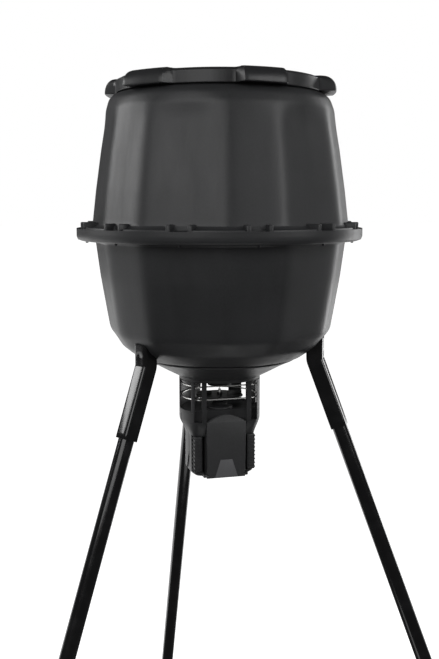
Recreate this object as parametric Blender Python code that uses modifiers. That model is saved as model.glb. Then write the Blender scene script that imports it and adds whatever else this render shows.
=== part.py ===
# A spin cast feeder: a two-piece plastic hopper on a steel tripod, with a twist-off lid on top
# and, under its outlet, a caged spinner driven by a motor above a timer and battery box.
# Metres, +Z up, front towards -Y. Heights in the code run from the underside of the hopper's
# flange, because every piece is parented to an empty there, on the hopper's axis.
import math

import bmesh
import bpy
from mathutils import Matrix, Vector

# Stand
FLANGE_HEIGHT = 1.62
AXIS_Y = -0.184
FOOT_LEVEL = -FLANGE_HEIGHT
LEG_AZIMUTHS = (-60, 60, 180)
LEG_TILT = math.radians(20.85)
LEG_RADIUS = 0.0157
LEG_WALL = 0.0015
LEG_TOP = -0.285
LEG_SPLIT = -1.33
LEG_REACH_AT_BEND = 0.2215
BEND_HEIGHT = -0.268
SWAGE_LENGTH = 0.07
FOOT_RADIUS = 0.024
FOOT_PLATE = 0.006
SLEEVE_RADIUS = 0.0195
SLEEVE_LENGTH = 0.05
SLEEVE_LIFT = 0.009

# Leg brackets
BRACKET_HALF = 0.018
BRACKET_WALL = 0.002
BRACKET_END = -0.418
BRACKET_TOP_OUTER = -0.2190
BRACKET_TOP_INNER = -0.2515
BRACKET_CAP = 0.0025
BRACKET_HOLE = 0.0045
BRACKET_EDGE = 0.003

# Hopper
SIDES = 60
HOPPER_WALL = 0.0035
FLANGE_RADIUS = 0.316
FLANGE_LIP = 0.023
UPPER_FLANGE_RADIUS = 0.3112
UPPER_FLANGE_TOP = 0.0085
WALL_FOOT = 0.2912
NARROW_HALF = math.radians(12)
WIDE_HALF = math.radians(18)
BOLT_COUNT = 12
BOLT_REACH = 0.299
BOLT_HOLE = 0.0037
POST_OFFSET = 0.0225
POST_WIDTH = 0.008
POST_REACH = 0.309
POST_TOP = 0.037
THREAD_RADIUS = 0.0030
HEAD_RADIUS = 0.0065
HEAD_HEIGHT = 0.0045
HEX_HEIGHT = 0.0055
THREAD_END = 0.0105

# Lid
LID_RADIUS = 0.229
LID_BOTTOM = 0.316
LID_SHOULDER = 0.342
LID_CROWN = 0.352
LID_WALL = 0.004
TAB_REACH = 0.258
TAB_HALF = math.radians(11)
TAB_FIRST = math.radians(5)
TAB_COUNT = 6
TAB_BOTTOM = 0.313
TAB_TOP = 0.340
NECK_RADIUS = 0.2205
NECK_TOP = 0.334
GASKET_INNER = 0.2130
GASKET_OUTER = 0.2200
GASKET_HEIGHT = 0.0032

# Outlet and spinner
OUTLET_RADIUS = 0.0246
OUTLET_END = -0.337
FUNNEL_WALL = 0.003
SPINNER_RADIUS = 0.054
SPINNER_LEVEL = -0.3615
SPINNER_SHEET = 0.0015
SPINNER_BORE = 0.0035
FIN_COUNT = 4
FIN_FIRST = 75
FIN_INNER = 0.018
FIN_HEIGHT = 0.010
HUB_TOP_RADIUS = 0.0120
HUB_FOOT_RADIUS = 0.0160
HUB_HEIGHT = 0.0075
NUT_RADIUS = 0.0067
NUT_HEIGHT = 0.0060
SHAFT_RADIUS = 0.003
SHAFT_TOP = -0.3470
SHAFT_FOOT = -0.4080

# Cage and control box
CAGE_RADIUS = 0.093
CAGE_FRONT = 0.064
CAGE_WALL = 0.003
CAGE_TOP = -0.3188
CAP_TOP = -0.3098
CAP_HOLE = 0.0340
CAP_RIM = 0.0880
CAP_FLOOR = 0.0030
# (azimuth of the middle, half width) of the cage's openings, in degrees
CAGE_WINDOWS = (
    (0, 35.5),
    (47, 4.8),
    (-47, 4.8),
    (88, 10),
    (-76, 17),
    (126, 5),
    (180, 28),
)
WINDOW_TOP = -0.3245
WINDOW_BOTTOM = -0.3865
DECK_LEVEL = -0.3905
BOX_SHOULDER = -0.408
BOX_WAIST = -0.452
BOX_FOOT = -0.530
BOX_BOTTOM = -0.541
BOX_HALF = 0.075
BOX_FRONT = 0.0508
BOX_BACK = 0.055
BOX_WALL = 0.003
BOX_PLAN_POWER = 5
BOX_FOOT_INSET = 0.010
DOOR_STEP_TOP = -0.3925
DOOR_OPENING_HALF = 0.041
DOOR_OPENING_TOP = -0.420
DOOR_OPENING_BOTTOM = -0.527
SHAFT_HOLE = 0.006
DOOR_HALF = 0.0463
DOOR_BACK = -0.0512
DOOR_FACE = -0.0615
DOOR_WALL = 0.0025
DOOR_PEAK = -0.394
DOOR_SHOULDER = -0.418
HINGE_Y = -0.056
HINGE_Z = -0.5385
HINGE_RADIUS = 0.0045
PIN_RADIUS = 0.0014
EAR_BACK = 0.038
EAR_WIDTH = 0.0047
LATCH_INNER = 0.0525
LATCH_OUTER = 0.0725
LATCH_FRONT = -0.0500
LATCH_BACK = -0.0300
LATCH_TOP = -0.447
LATCH_BOTTOM = -0.529
LATCH_PIVOT = (0.0545, -0.0335)
LATCH_ROOM = 0.0015
WIRE_RADIUS = 0.0016
WIRE_LEVELS = (-0.330, -0.360)
WIRE_POINTS = 36
WIRE_CLEARANCE = 0.0012

# Inside the control box
MOTOR_RADIUS = 0.018
MOTOR_LENGTH = 0.048
MOTOR_BORE = 0.0036
MOTOR_BORE_FOOT = -0.4095
BATTERY_LOW = (-0.0530, -0.0080, -0.5370)
BATTERY_HIGH = (0.0530, 0.0400, -0.4670)
PANEL_LOW = (-0.0433, -0.0464, -0.5290)
PANEL_HIGH = (0.0433, -0.0424, -0.4170)
DISPLAY_LOW = (-0.0237, -0.0470, -0.4597)
DISPLAY_HIGH = (0.0237, -0.0452, -0.4353)
BUTTON_COUNT = 4
BUTTON_FIRST = -0.027
BUTTON_PITCH = 0.018
BUTTON_Y = -0.0463
BUTTON_LEVEL = -0.482
BUTTON_RADIUS = 0.0044
BUTTON_HOLE = 0.0048
BUTTON_LENGTH = 0.0062

GAP = 0.0003
# How far a cutter runs past the piece it cuts
BEYOND = 0.12


def clear_scene():
    for item in list(bpy.data.objects):
        bpy.data.objects.remove(item, do_unlink=True)


def new_collection(name):
    collection = bpy.data.collections.new(name)
    bpy.context.scene.collection.children.link(collection)
    return collection


clear_scene()
parts = new_collection("SpinCastFeeder")
cutters = new_collection("Cutters")
cutters.hide_render = True
hopper_axis = bpy.data.objects.new("hopper_axis", None)
hopper_axis.location = (0, AXIS_Y, FLANGE_HEIGHT)
parts.objects.link(hopper_axis)


def finish(name, colour, roughness, metallic=0.0):
    material = bpy.data.materials.new(name)
    material.use_nodes = True
    shader = material.node_tree.nodes["Principled BSDF"]
    shader.inputs["Base Color"].default_value = (*colour, 1)
    shader.inputs["Roughness"].default_value = roughness
    shader.inputs["Metallic"].default_value = metallic
    return material


hopper_plastic = finish("hopper_plastic", (0.030, 0.031, 0.033), 0.45)
lid_plastic = finish("lid_plastic", (0.026, 0.027, 0.029), 0.50)
painted_steel = finish("painted_steel", (0.012, 0.012, 0.013), 0.22)
box_plastic = finish("box_plastic", (0.045, 0.046, 0.048), 0.50)
door_plastic = finish("door_plastic", (0.060, 0.061, 0.063), 0.45)
bright_steel = finish("bright_steel", (0.62, 0.62, 0.60), 0.25, 1.0)
rubber = finish("rubber", (0.020, 0.020, 0.020), 0.75)
battery_case = finish("battery_case", (0.10, 0.10, 0.11), 0.40)
button_plastic = finish("button_plastic", (0.35, 0.36, 0.38), 0.40)
display_glass = finish("display_glass", (0.22, 0.26, 0.20), 0.10)


def place(name, mesh, material, parent=None, smooth_angle=35):
    """A named part in the feeder's collection, smooth except at edges sharper than the angle."""
    mesh.materials.append(material)
    mesh.shade_smooth()
    mesh.set_sharp_from_angle(angle=math.radians(smooth_angle))
    part = bpy.data.objects.new(name, mesh)
    part.parent = parent or hopper_axis
    parts.objects.link(part)
    return part


def cutter(name, mesh, parent=None):
    """A wire-drawn helper that only Booleans use."""
    helper = bpy.data.objects.new(name, mesh)
    helper.parent = parent or hopper_axis
    helper.display_type = "WIRE"
    helper.hide_render = True
    cutters.objects.link(helper)
    return helper


def mesh_of(name, shape):
    mesh = bpy.data.meshes.new(name)
    shape.to_mesh(mesh)
    shape.free()
    return mesh


def boolean(part, other, operation="DIFFERENCE", solver="EXACT"):
    modifier = part.modifiers.new(other.name, "BOOLEAN")
    modifier.operation = operation
    modifier.solver = solver
    modifier.object = other


def solidify(part, wall):
    """A wall that grows inwards from the outer surface."""
    modifier = part.modifiers.new("wall", "SOLIDIFY")
    modifier.thickness = wall
    modifier.offset = -1
    modifier.use_even_offset = True


def bevel(part, width, segments=1):
    modifier = part.modifiers.new("rounded_edges", "BEVEL")
    modifier.width = width
    modifier.segments = segments
    modifier.limit_method = "ANGLE"
    modifier.angle_limit = math.radians(40)


def screw(part, steps):
    modifier = part.modifiers.new("turned", "SCREW")
    modifier.steps = steps
    modifier.render_steps = steps
    modifier.use_merge_vertices = True
    modifier.merge_threshold = 1e-5
    modifier.use_smooth_shade = True


def profile_mesh(name, profile):
    """An open profile of (radius, height) points in the XZ plane, listed top to bottom outside."""
    shape = bmesh.new()
    points = [shape.verts.new((radius, 0, height)) for radius, height in profile]
    for first, second in zip(points, points[1:]):
        shape.edges.new((first, second))
    return mesh_of(name, shape)


def turned(name, profile, material, steps, wall=None, parent=None):
    part = place(name, profile_mesh(name, profile), material, parent)
    screw(part, steps)
    if wall:
        solidify(part, wall)
    return part


def add_box(shape, low, high, turn=None):
    """A box between two corners, in a bmesh, then turned by a matrix."""
    low, high = Vector(low), Vector(high)
    made = bmesh.ops.create_cube(shape, size=1)["verts"]
    bmesh.ops.scale(shape, vec=high - low, verts=made)
    bmesh.ops.translate(shape, vec=(low + high) / 2, verts=made)
    if turn:
        bmesh.ops.transform(shape, matrix=turn, verts=made)


def add_cylinder(shape, radius, length, matrix, segments=12):
    """A closed cylinder along the matrix's Z, centred on its origin.

    It is turned a little, so that none of its corners lies on an edge of the piece it meets.
    """
    bmesh.ops.create_cone(
        shape,
        cap_ends=True,
        segments=segments,
        radius1=radius,
        radius2=radius,
        depth=length,
        matrix=matrix @ Matrix.Rotation(0.13, 4, "Z"),
    )


def box_mesh(name, low, high):
    shape = bmesh.new()
    add_box(shape, low, high)
    return mesh_of(name, shape)


def radial_turn(azimuth):
    """Turns a piece built along +X so that +X points out at this azimuth, in degrees from the front."""
    return Matrix.Rotation(math.radians(azimuth - 90), 4, "Z")


def extruded(name, outline, half_depth):
    """A solid from a closed XZ outline, spanning half_depth to both sides of the XZ plane."""
    curve = bpy.data.curves.new(name, "CURVE")
    curve.dimensions = "2D"
    curve.fill_mode = "BOTH"
    curve.extrude = half_depth
    spline = curve.splines.new("POLY")
    spline.points.add(len(outline) - 1)
    for point, (across, height) in zip(spline.points, outline):
        point.co = (across, height, 0, 1)
    spline.use_cyclic_u = True
    drawn = bpy.data.objects.new(name, curve)
    parts.objects.link(drawn)
    graph = bpy.context.evaluated_depsgraph_get()
    mesh = bpy.data.meshes.new_from_object(drawn.evaluated_get(graph))
    bpy.data.objects.remove(drawn, do_unlink=True)
    shape = bmesh.new()
    shape.from_mesh(mesh)
    bmesh.ops.remove_doubles(shape, verts=shape.verts, dist=1e-6)
    bmesh.ops.transform(shape, matrix=Matrix.Rotation(math.radians(90), 4, "X"), verts=shape.verts)
    bmesh.ops.recalc_face_normals(shape, faces=shape.faces)
    shape.to_mesh(mesh)
    shape.free()
    return mesh


def loft(name, stations, section, sides, capped=False):
    """Rings of one outline per station, bridged in turn. section(azimuth, station) gives a radius."""
    shape = bmesh.new()
    made = bmesh.ops.create_circle(shape, segments=sides, radius=1)
    ring = made["verts"]
    edges = list(shape.edges)
    for number, station in enumerate(stations):
        if number:
            grown = bmesh.ops.extrude_edge_only(shape, edges=edges)["geom"]
            ring = [item for item in grown if isinstance(item, bmesh.types.BMVert)]
            new = set(ring)
            links = [item for item in grown if isinstance(item, bmesh.types.BMEdge)]
            edges = [link for link in links if new.issuperset(link.verts)]
        for point in ring:
            azimuth = math.atan2(point.co.x, -point.co.y)
            radius = section(azimuth, station)
            point.co = (radius * math.sin(azimuth), -radius * math.cos(azimuth), station[1])
    if capped:
        bmesh.ops.holes_fill(shape, edges=shape.edges, sides=sides)
    bmesh.ops.recalc_face_normals(shape, faces=shape.faces)
    centre = Vector((0, 0, (stations[0][1] + stations[-1][1]) / 2))
    outward = 0
    for face in shape.faces:
        outward += face.calc_area() * face.normal.dot(face.calc_center_median() - centre)
    if outward < 0:
        bmesh.ops.reverse_faces(shape, faces=shape.faces)
    return mesh_of(name, shape)


def facet_ratio(azimuth):
    """Radius over corner radius of the twelve-sided plan, whose narrow and wide sides alternate."""
    sixth = math.radians(60)
    offset = (azimuth + sixth / 2) % sixth - sixth / 2
    if abs(offset) <= NARROW_HALF + 1e-6:
        return math.cos(NARROW_HALF) / math.cos(offset)
    offset = abs(offset) - sixth / 2
    return math.cos(WIDE_HALF) / math.cos(offset)


def hopper_section(azimuth, station):
    radius, _, facets = station
    return radius * (1 + facets * (facet_ratio(azimuth) - 1))


# Each hopper station is (corner radius, height, how far the plan is twelve-sided)
upper_stations = (
    (UPPER_FLANGE_RADIUS, UPPER_FLANGE_TOP, 0),
    (0.2955, UPPER_FLANGE_TOP, 0.6),
    (WALL_FOOT, 0.0150, 1),
    (0.2815, 0.1050, 1),
    (0.2690, 0.1920, 1),
    (0.2540, 0.2780, 1),
    (0.2485, 0.2910, 0.9),
    (0.2370, 0.3080, 0.4),
    (0.2260, 0.3130, 0),
    (NECK_RADIUS, 0.3155, 0),
    (NECK_RADIUS, NECK_TOP, 0),
)
lower_stations = (
    (FLANGE_RADIUS, FLANGE_LIP, 0),
    (FLANGE_RADIUS, 0, 0),
    (0.2865, 0, 0.6),
    (0.2805, -0.0140, 1),
    (0.2700, -0.0850, 1),
    (0.2560, -0.1670, 1),
    (0.2495, -0.2060, 0.9),
    (0.2410, -0.2180, 0.7),
    (0.2230, -0.2335, 0.4),
    (0.1835, -0.2650, 0),
    (0.1795, -0.2660, 0),
    (0.1775, -0.2600, 0),
    (0.1580, -0.2590, 0),
)


def bolt_matrix(station, height):
    azimuth = station * 360 / BOLT_COUNT
    return radial_turn(azimuth) @ Matrix.Translation((BOLT_REACH, 0, height))


def make_hopper():
    holes = bmesh.new()
    for station in range(BOLT_COUNT):
        add_cylinder(holes, BOLT_HOLE, 0.04, bolt_matrix(station, 0), 8)
    bolt_holes = cutter("flange_holes", mesh_of("flange_holes", holes))

    posts = bmesh.new()
    for station in range(BOLT_COUNT):
        azimuth = station * 360 / BOLT_COUNT
        inner = WALL_FOOT * facet_ratio(math.radians(azimuth)) - HOPPER_WALL / 2
        for side in (-1, 1):
            middle = side * POST_OFFSET
            low = (inner, middle - POST_WIDTH / 2, UPPER_FLANGE_TOP - 0.002)
            high = (POST_REACH, middle + POST_WIDTH / 2, POST_TOP)
            add_box(posts, low, high, radial_turn(azimuth))
    post_blocks = cutter("flange_posts", mesh_of("flange_posts", posts))

    skin = loft("hopper_upper", upper_stations, hopper_section, SIDES)
    upper = place("hopper_upper", skin, hopper_plastic)
    solidify(upper, HOPPER_WALL)
    boolean(upper, post_blocks, "UNION")
    boolean(upper, bolt_holes, solver="MANIFOLD")

    skin = loft("hopper_lower", lower_stations, hopper_section, SIDES)
    lower = place("hopper_lower", skin, hopper_plastic)
    solidify(lower, HOPPER_WALL)
    boolean(lower, bolt_holes)
    return lower


def make_flange_bolts():
    head_top = -GAP
    nut_base = UPPER_FLANGE_TOP + GAP
    profile = (
        (0, nut_base + THREAD_END),
        (THREAD_RADIUS, nut_base + THREAD_END),
        (THREAD_RADIUS, nut_base + HEX_HEIGHT),
        (HEAD_RADIUS, nut_base + HEX_HEIGHT),
        (HEAD_RADIUS, nut_base),
        (THREAD_RADIUS, nut_base),
        (THREAD_RADIUS, head_top),
        (HEAD_RADIUS, head_top),
        (HEAD_RADIUS, head_top - HEAD_HEIGHT),
        (0, head_top - HEAD_HEIGHT),
    )
    for station in range(BOLT_COUNT):
        bolt = turned(f"flange_bolt_{station + 1:02d}", profile, bright_steel, 6)
        bolt.matrix_local = bolt_matrix(station, 0)


def make_lid():
    profile = (
        (0, LID_CROWN),
        (0.110, LID_CROWN - 0.001),
        (0.190, LID_CROWN - 0.005),
        (0.222, LID_SHOULDER),
        (LID_RADIUS, LID_SHOULDER - 0.006),
        (LID_RADIUS, LID_BOTTOM),
    )
    lid = turned("lid", profile, lid_plastic, 48, LID_WALL)
    tabs = bmesh.new()
    for number in range(TAB_COUNT):
        middle = TAB_FIRST + number * math.tau / TAB_COUNT
        outline = [
            (-1.25, 0.2262),
            (-1.0, 0.2440),
            (-0.8, TAB_REACH),
            (0, TAB_REACH - 0.003),
        ]
        outline += [(-share, radius) for share, radius in reversed(outline[:-1])]
        outline += [(share, 0.2275) for share in (0.75, 0.25, -0.25, -0.75)]
        points = []
        for share, radius in outline:
            azimuth = middle + share * TAB_HALF
            corner = (radius * math.sin(azimuth), -radius * math.cos(azimuth), TAB_BOTTOM)
            points.append(tabs.verts.new(corner))
        face = tabs.faces.new(points)
        grown = bmesh.ops.extrude_face_region(tabs, geom=[face])["geom"]
        raised = [item for item in grown if isinstance(item, bmesh.types.BMVert)]
        bmesh.ops.translate(tabs, vec=(0, 0, TAB_TOP - TAB_BOTTOM), verts=raised)
    bmesh.ops.recalc_face_normals(tabs, faces=tabs.faces)
    boolean(lid, cutter("lid_tabs", mesh_of("lid_tabs", tabs)), "UNION")

    gasket_low = NECK_TOP + GAP
    gasket_high = gasket_low + GASKET_HEIGHT
    gasket = (
        (GASKET_INNER, gasket_high),
        (GASKET_OUTER, gasket_high),
        (GASKET_OUTER, gasket_low),
        (GASKET_INNER, gasket_low),
        (GASKET_INNER, gasket_high),
    )
    turned("lid_gasket", gasket, rubber, 40)


def make_funnel():
    profile = (
        (0.1735, -0.2630),
        (0.1700, -0.2675),
        (0.1465, -0.2800),
        (0.1200, -0.2950),
        (0.0930, -0.3090),
        (0.0300, -0.3135),
        (OUTLET_RADIUS, -0.3165),
        (OUTLET_RADIUS, OUTLET_END),
    )
    turned("outlet_funnel", profile, hopper_plastic, 36, FUNNEL_WALL)


def offset_path(half):
    """A strip of this half width, upright and then along the leg, as seen from the side.

    It gives the bend, the end, the mitre at the bend, half the strip's width and its direction.
    """
    along = Vector((math.sin(LEG_TILT), -math.cos(LEG_TILT)))
    across = Vector((math.cos(LEG_TILT), math.sin(LEG_TILT)))
    bend = Vector((LEG_REACH_AT_BEND, BEND_HEIGHT))
    end = bend + along * (BEND_HEIGHT - BRACKET_END) / math.cos(LEG_TILT)
    mitre = Vector((1, math.tan(LEG_TILT / 2))) * half
    return bend, end, mitre, across * half, along


def make_bracket(azimuth, name, lower):
    bend, end, mitre, across, _ = offset_path(BRACKET_HALF)
    slope = Vector((2 * BRACKET_HALF, BRACKET_TOP_OUTER - BRACKET_TOP_INNER))
    top_inner = Vector((bend.x - BRACKET_HALF, BRACKET_TOP_INNER))
    outline = (top_inner, top_inner + slope, bend + mitre, end + across, end - across, bend - mitre)
    bracket = place(name, extruded(name, outline, BRACKET_HALF), painted_steel)
    bracket.matrix_local = radial_turn(azimuth)
    bevel(bracket, BRACKET_EDGE)

    inner_half = BRACKET_HALF - BRACKET_WALL
    bend, end, mitre, across, along = offset_path(inner_half)
    beyond = end + along * 0.01
    rise = slope.y / slope.x
    cap_drop = BRACKET_CAP / math.cos(math.atan(rise))
    inner_top = Vector((bend.x - inner_half, BRACKET_TOP_INNER + BRACKET_WALL * rise - cap_drop))
    outer_top = inner_top + Vector((2 * inner_half, 2 * inner_half * rise))
    outline = (inner_top, outer_top, bend + mitre, beyond + across, beyond - across, bend - mitre)
    socket = cutter(f"{name}_socket", extruded(f"{name}_socket", outline, inner_half))
    socket.matrix_local = radial_turn(azimuth)
    boolean(bracket, socket)

    # The bolt stands square to the bracket's sloping cap, at its middle.
    middle = Vector((LEG_REACH_AT_BEND, 0, (BRACKET_TOP_OUTER + BRACKET_TOP_INNER) / 2))
    lean = Matrix.Rotation(-math.atan(rise), 4, "Y")
    seat = radial_turn(azimuth) @ Matrix.Translation(middle) @ lean
    hole_shape = bmesh.new()
    add_cylinder(hole_shape, BRACKET_HOLE, 0.03, Matrix.Identity(4))
    hole = cutter(f"{name}_hole", mesh_of(f"{name}_hole", hole_shape))
    hole.matrix_local = seat
    boolean(bracket, hole)
    boolean(lower, hole)
    nut_top = -BRACKET_CAP - GAP
    profile = (
        (0, 0.0115),
        (0.0065, 0.0110),
        (0.0085, 0.0068),
        (0.0040, 0.0068),
        (0.0040, nut_top),
        (0.0070, nut_top),
        (0.0070, nut_top - 0.005),
        (0, nut_top - 0.005),
    )
    bolt = turned(name.replace("bracket", "bracket_bolt"), profile, bright_steel, 12)
    bolt.matrix_local = seat


def leg_point(height):
    return Vector((LEG_REACH_AT_BEND + math.tan(LEG_TILT) * (BEND_HEIGHT - height), 0, height))


def make_leg(azimuth, side):
    """One leg's upper tube, its lower tube with a swaged top inside the upper one, and its foot."""
    lean = Matrix.Rotation(-LEG_TILT, 4, "Y")
    stretch = 1 / math.cos(LEG_TILT)
    upper_length = (LEG_TOP - LEG_SPLIT) * stretch
    upper_profile = ((LEG_RADIUS, 0), (LEG_RADIUS, -upper_length))
    upper = turned(f"leg_upper_{side}", upper_profile, painted_steel, 12, LEG_WALL)
    upper.matrix_local = radial_turn(azimuth) @ Matrix.Translation(leg_point(LEG_TOP)) @ lean

    plate_top = FOOT_LEVEL + FOOT_PLATE
    leg_end = plate_top + LEG_RADIUS * math.sin(LEG_TILT) + GAP
    lower_length = (LEG_SPLIT - leg_end) * stretch
    swage_radius = LEG_RADIUS - LEG_WALL - GAP
    lower_profile = (
        (swage_radius, SWAGE_LENGTH),
        (swage_radius, -2 * GAP),
        (LEG_RADIUS, -0.004),
        (LEG_RADIUS, -lower_length),
    )
    lower = turned(f"leg_lower_{side}", lower_profile, painted_steel, 12, LEG_WALL)
    lower.matrix_local = radial_turn(azimuth) @ Matrix.Translation(leg_point(LEG_SPLIT)) @ lean

    # The foot: a flat round plate, level with the ground, and a sleeve along the leg.
    plate_centre = leg_point(FOOT_LEVEL + FOOT_PLATE / 2)
    plate_shape = bmesh.new()
    add_cylinder(plate_shape, FOOT_RADIUS, FOOT_PLATE, Matrix.Translation(plate_centre), 16)
    foot = place(f"foot_{side}", mesh_of(f"foot_{side}", plate_shape), rubber)
    foot.matrix_local = radial_turn(azimuth)

    sleeve_shape = bmesh.new()
    sleeve_low = FOOT_LEVEL + SLEEVE_LIFT
    lift = Matrix.Translation((0, 0, SLEEVE_LENGTH / 2))
    sleeve = Matrix.Translation(leg_point(sleeve_low)) @ lean @ lift
    add_cylinder(sleeve_shape, SLEEVE_RADIUS, SLEEVE_LENGTH, sleeve, 12)
    boolean(foot, cutter_at(f"foot_{side}_sleeve", sleeve_shape, azimuth), "UNION")

    bore_shape = bmesh.new()
    lift = Matrix.Translation((0, 0, SLEEVE_LENGTH / 2 - GAP))
    bore = Matrix.Translation(leg_point(leg_end)) @ lean @ lift
    bore_radius = LEG_RADIUS / math.cos(math.pi / 12) + GAP
    add_cylinder(bore_shape, bore_radius, SLEEVE_LENGTH, bore, 12)
    boolean(foot, cutter_at(f"foot_{side}_bore", bore_shape, azimuth))


def cutter_at(name, shape, azimuth):
    helper = cutter(name, mesh_of(name, shape))
    helper.matrix_local = radial_turn(azimuth)
    return helper


def cage_section(azimuth, station):
    """A circle with a flat front: station is (radius, height, distance of the flat front)."""
    radius, _, front = station
    ahead = math.cos(azimuth)
    return min(radius, front / ahead) if ahead > 0.1 else radius


def box_section(azimuth, station):
    """A rounded box plan that swells to the cage's plan. Station: (inset, height, how far boxy)."""
    inset, _, boxy = station
    ahead, aside = math.cos(azimuth), abs(math.sin(azimuth))
    depth = (BOX_FRONT if ahead > 0 else BOX_BACK) - inset
    power = BOX_PLAN_POWER
    total = (abs(ahead) / depth) ** power + (aside / (BOX_HALF - inset)) ** power
    boxed = total ** (-1 / power)
    round_plan = cage_section(azimuth, (CAGE_RADIUS - inset, 0, CAGE_FRONT - inset))
    return boxy * boxed + (1 - boxy) * round_plan


def make_cage():
    top = (
        (CAGE_RADIUS, CAP_TOP),
        (CAGE_RADIUS, CAGE_TOP + GAP),
        (CAP_HOLE, CAGE_TOP + GAP),
        (CAP_HOLE, CAGE_TOP + CAP_FLOOR),
        (CAP_RIM, CAGE_TOP + CAP_FLOOR),
        (CAP_RIM, CAP_TOP),
        (CAGE_RADIUS, CAP_TOP),
    )
    turned("cage_cap", top, box_plastic, 36)
    front = CAGE_FRONT
    stations = ((CAGE_RADIUS, CAGE_TOP, front), (CAGE_RADIUS, DECK_LEVEL + GAP, front))
    cage = place("spinner_cage", loft("spinner_cage", stations, cage_section, 48), box_plastic)
    solidify(cage, CAGE_WALL)
    openings = bmesh.new()
    for middle, half in CAGE_WINDOWS:
        spread = CAGE_RADIUS * math.tan(math.radians(half))
        outline = ((0.030, spread * 0.3), (0.12, spread * 1.3))
        points = []
        for reach, width in outline:
            points += [(reach, -width), (reach, width)]
        ordered = (points[0], points[2], points[3], points[1])
        face = openings.faces.new([openings.verts.new((x, y, WINDOW_BOTTOM)) for x, y in ordered])
        grown = bmesh.ops.extrude_face_region(openings, geom=[face])["geom"]
        raised = [item for item in grown if isinstance(item, bmesh.types.BMVert)]
        bmesh.ops.translate(openings, vec=(0, 0, WINDOW_TOP - WINDOW_BOTTOM), verts=raised)
        bmesh.ops.transform(openings, matrix=radial_turn(middle), verts=raised + list(face.verts))
    bmesh.ops.recalc_face_normals(openings, faces=openings.faces)
    boolean(cage, cutter("cage_windows", mesh_of("cage_windows", openings)))

    for number, level in enumerate(WIRE_LEVELS):
        curve = bpy.data.curves.new(f"guard_wire_{number + 1}", "CURVE")
        curve.dimensions = "3D"
        curve.bevel_depth = WIRE_RADIUS
        curve.bevel_resolution = 0
        spline = curve.splines.new("POLY")
        spline.points.add(WIRE_POINTS - 1)
        inset = CAGE_WALL + WIRE_RADIUS + WIRE_CLEARANCE
        for step, point in enumerate(spline.points):
            azimuth = math.tau * step / WIRE_POINTS
            reach = cage_section(azimuth, (CAGE_RADIUS - inset, level, CAGE_FRONT - inset))
            point.co = (reach * math.sin(azimuth), -reach * math.cos(azimuth), level, 1)
        spline.use_cyclic_u = True
        wire = bpy.data.objects.new(curve.name, curve)
        curve.materials.append(bright_steel)
        wire.parent = hopper_axis
        parts.objects.link(wire)


def make_spinner():
    sheet_low = SPINNER_LEVEL - SPINNER_SHEET
    disc = (
        (SPINNER_BORE, SPINNER_LEVEL),
        (SPINNER_RADIUS, SPINNER_LEVEL),
        (SPINNER_RADIUS, sheet_low),
        (SPINNER_BORE, sheet_low),
        (SPINNER_BORE, SPINNER_LEVEL),
    )
    plate = turned("spinner_plate", disc, painted_steel, 36)
    fins = bmesh.new()
    for number in range(FIN_COUNT):
        low = (FIN_INNER, -SPINNER_SHEET / 2, SPINNER_LEVEL - SPINNER_SHEET / 2)
        high = (SPINNER_RADIUS - 0.003, SPINNER_SHEET / 2, SPINNER_LEVEL + FIN_HEIGHT)
        add_box(fins, low, high, radial_turn(FIN_FIRST + number * 360 / FIN_COUNT))
    boolean(plate, cutter("spinner_fins", mesh_of("spinner_fins", fins)), "UNION")

    hub_top = sheet_low - GAP
    bore = SHAFT_RADIUS + GAP
    hub = (
        (bore, hub_top),
        (HUB_TOP_RADIUS, hub_top),
        (HUB_FOOT_RADIUS, hub_top - HUB_HEIGHT),
        (bore, hub_top - HUB_HEIGHT),
        (bore, hub_top),
    )
    turned("spinner_hub", hub, painted_steel, 24)
    nut_low = SPINNER_LEVEL + GAP
    nut = (
        (bore, nut_low + NUT_HEIGHT),
        (NUT_RADIUS, nut_low + NUT_HEIGHT),
        (NUT_RADIUS, nut_low),
        (bore, nut_low),
        (bore, nut_low + NUT_HEIGHT),
    )
    turned("spinner_nut", nut, bright_steel, 12)
    shaft = (
        (0, SHAFT_TOP),
        (SHAFT_RADIUS, SHAFT_TOP - 0.0005),
        (SHAFT_RADIUS, SHAFT_FOOT),
        (0, SHAFT_FOOT),
    )
    turned("motor_shaft", shaft, bright_steel, 16)


def latch_steps(name, wall):
    """The two corners that are cut back for the latches, larger all round by the wall."""
    steps = bmesh.new()
    for side in (-1, 1):
        near, far = sorted((side * (DOOR_HALF + 0.0005 - wall), side * BEYOND))
        low = (near, -BEYOND, LATCH_BOTTOM - LATCH_ROOM - wall)
        high = (far, LATCH_BACK + 0.0007 + wall, LATCH_TOP + LATCH_ROOM + wall)
        add_box(steps, low, high)
    return mesh_of(name, steps)


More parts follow.
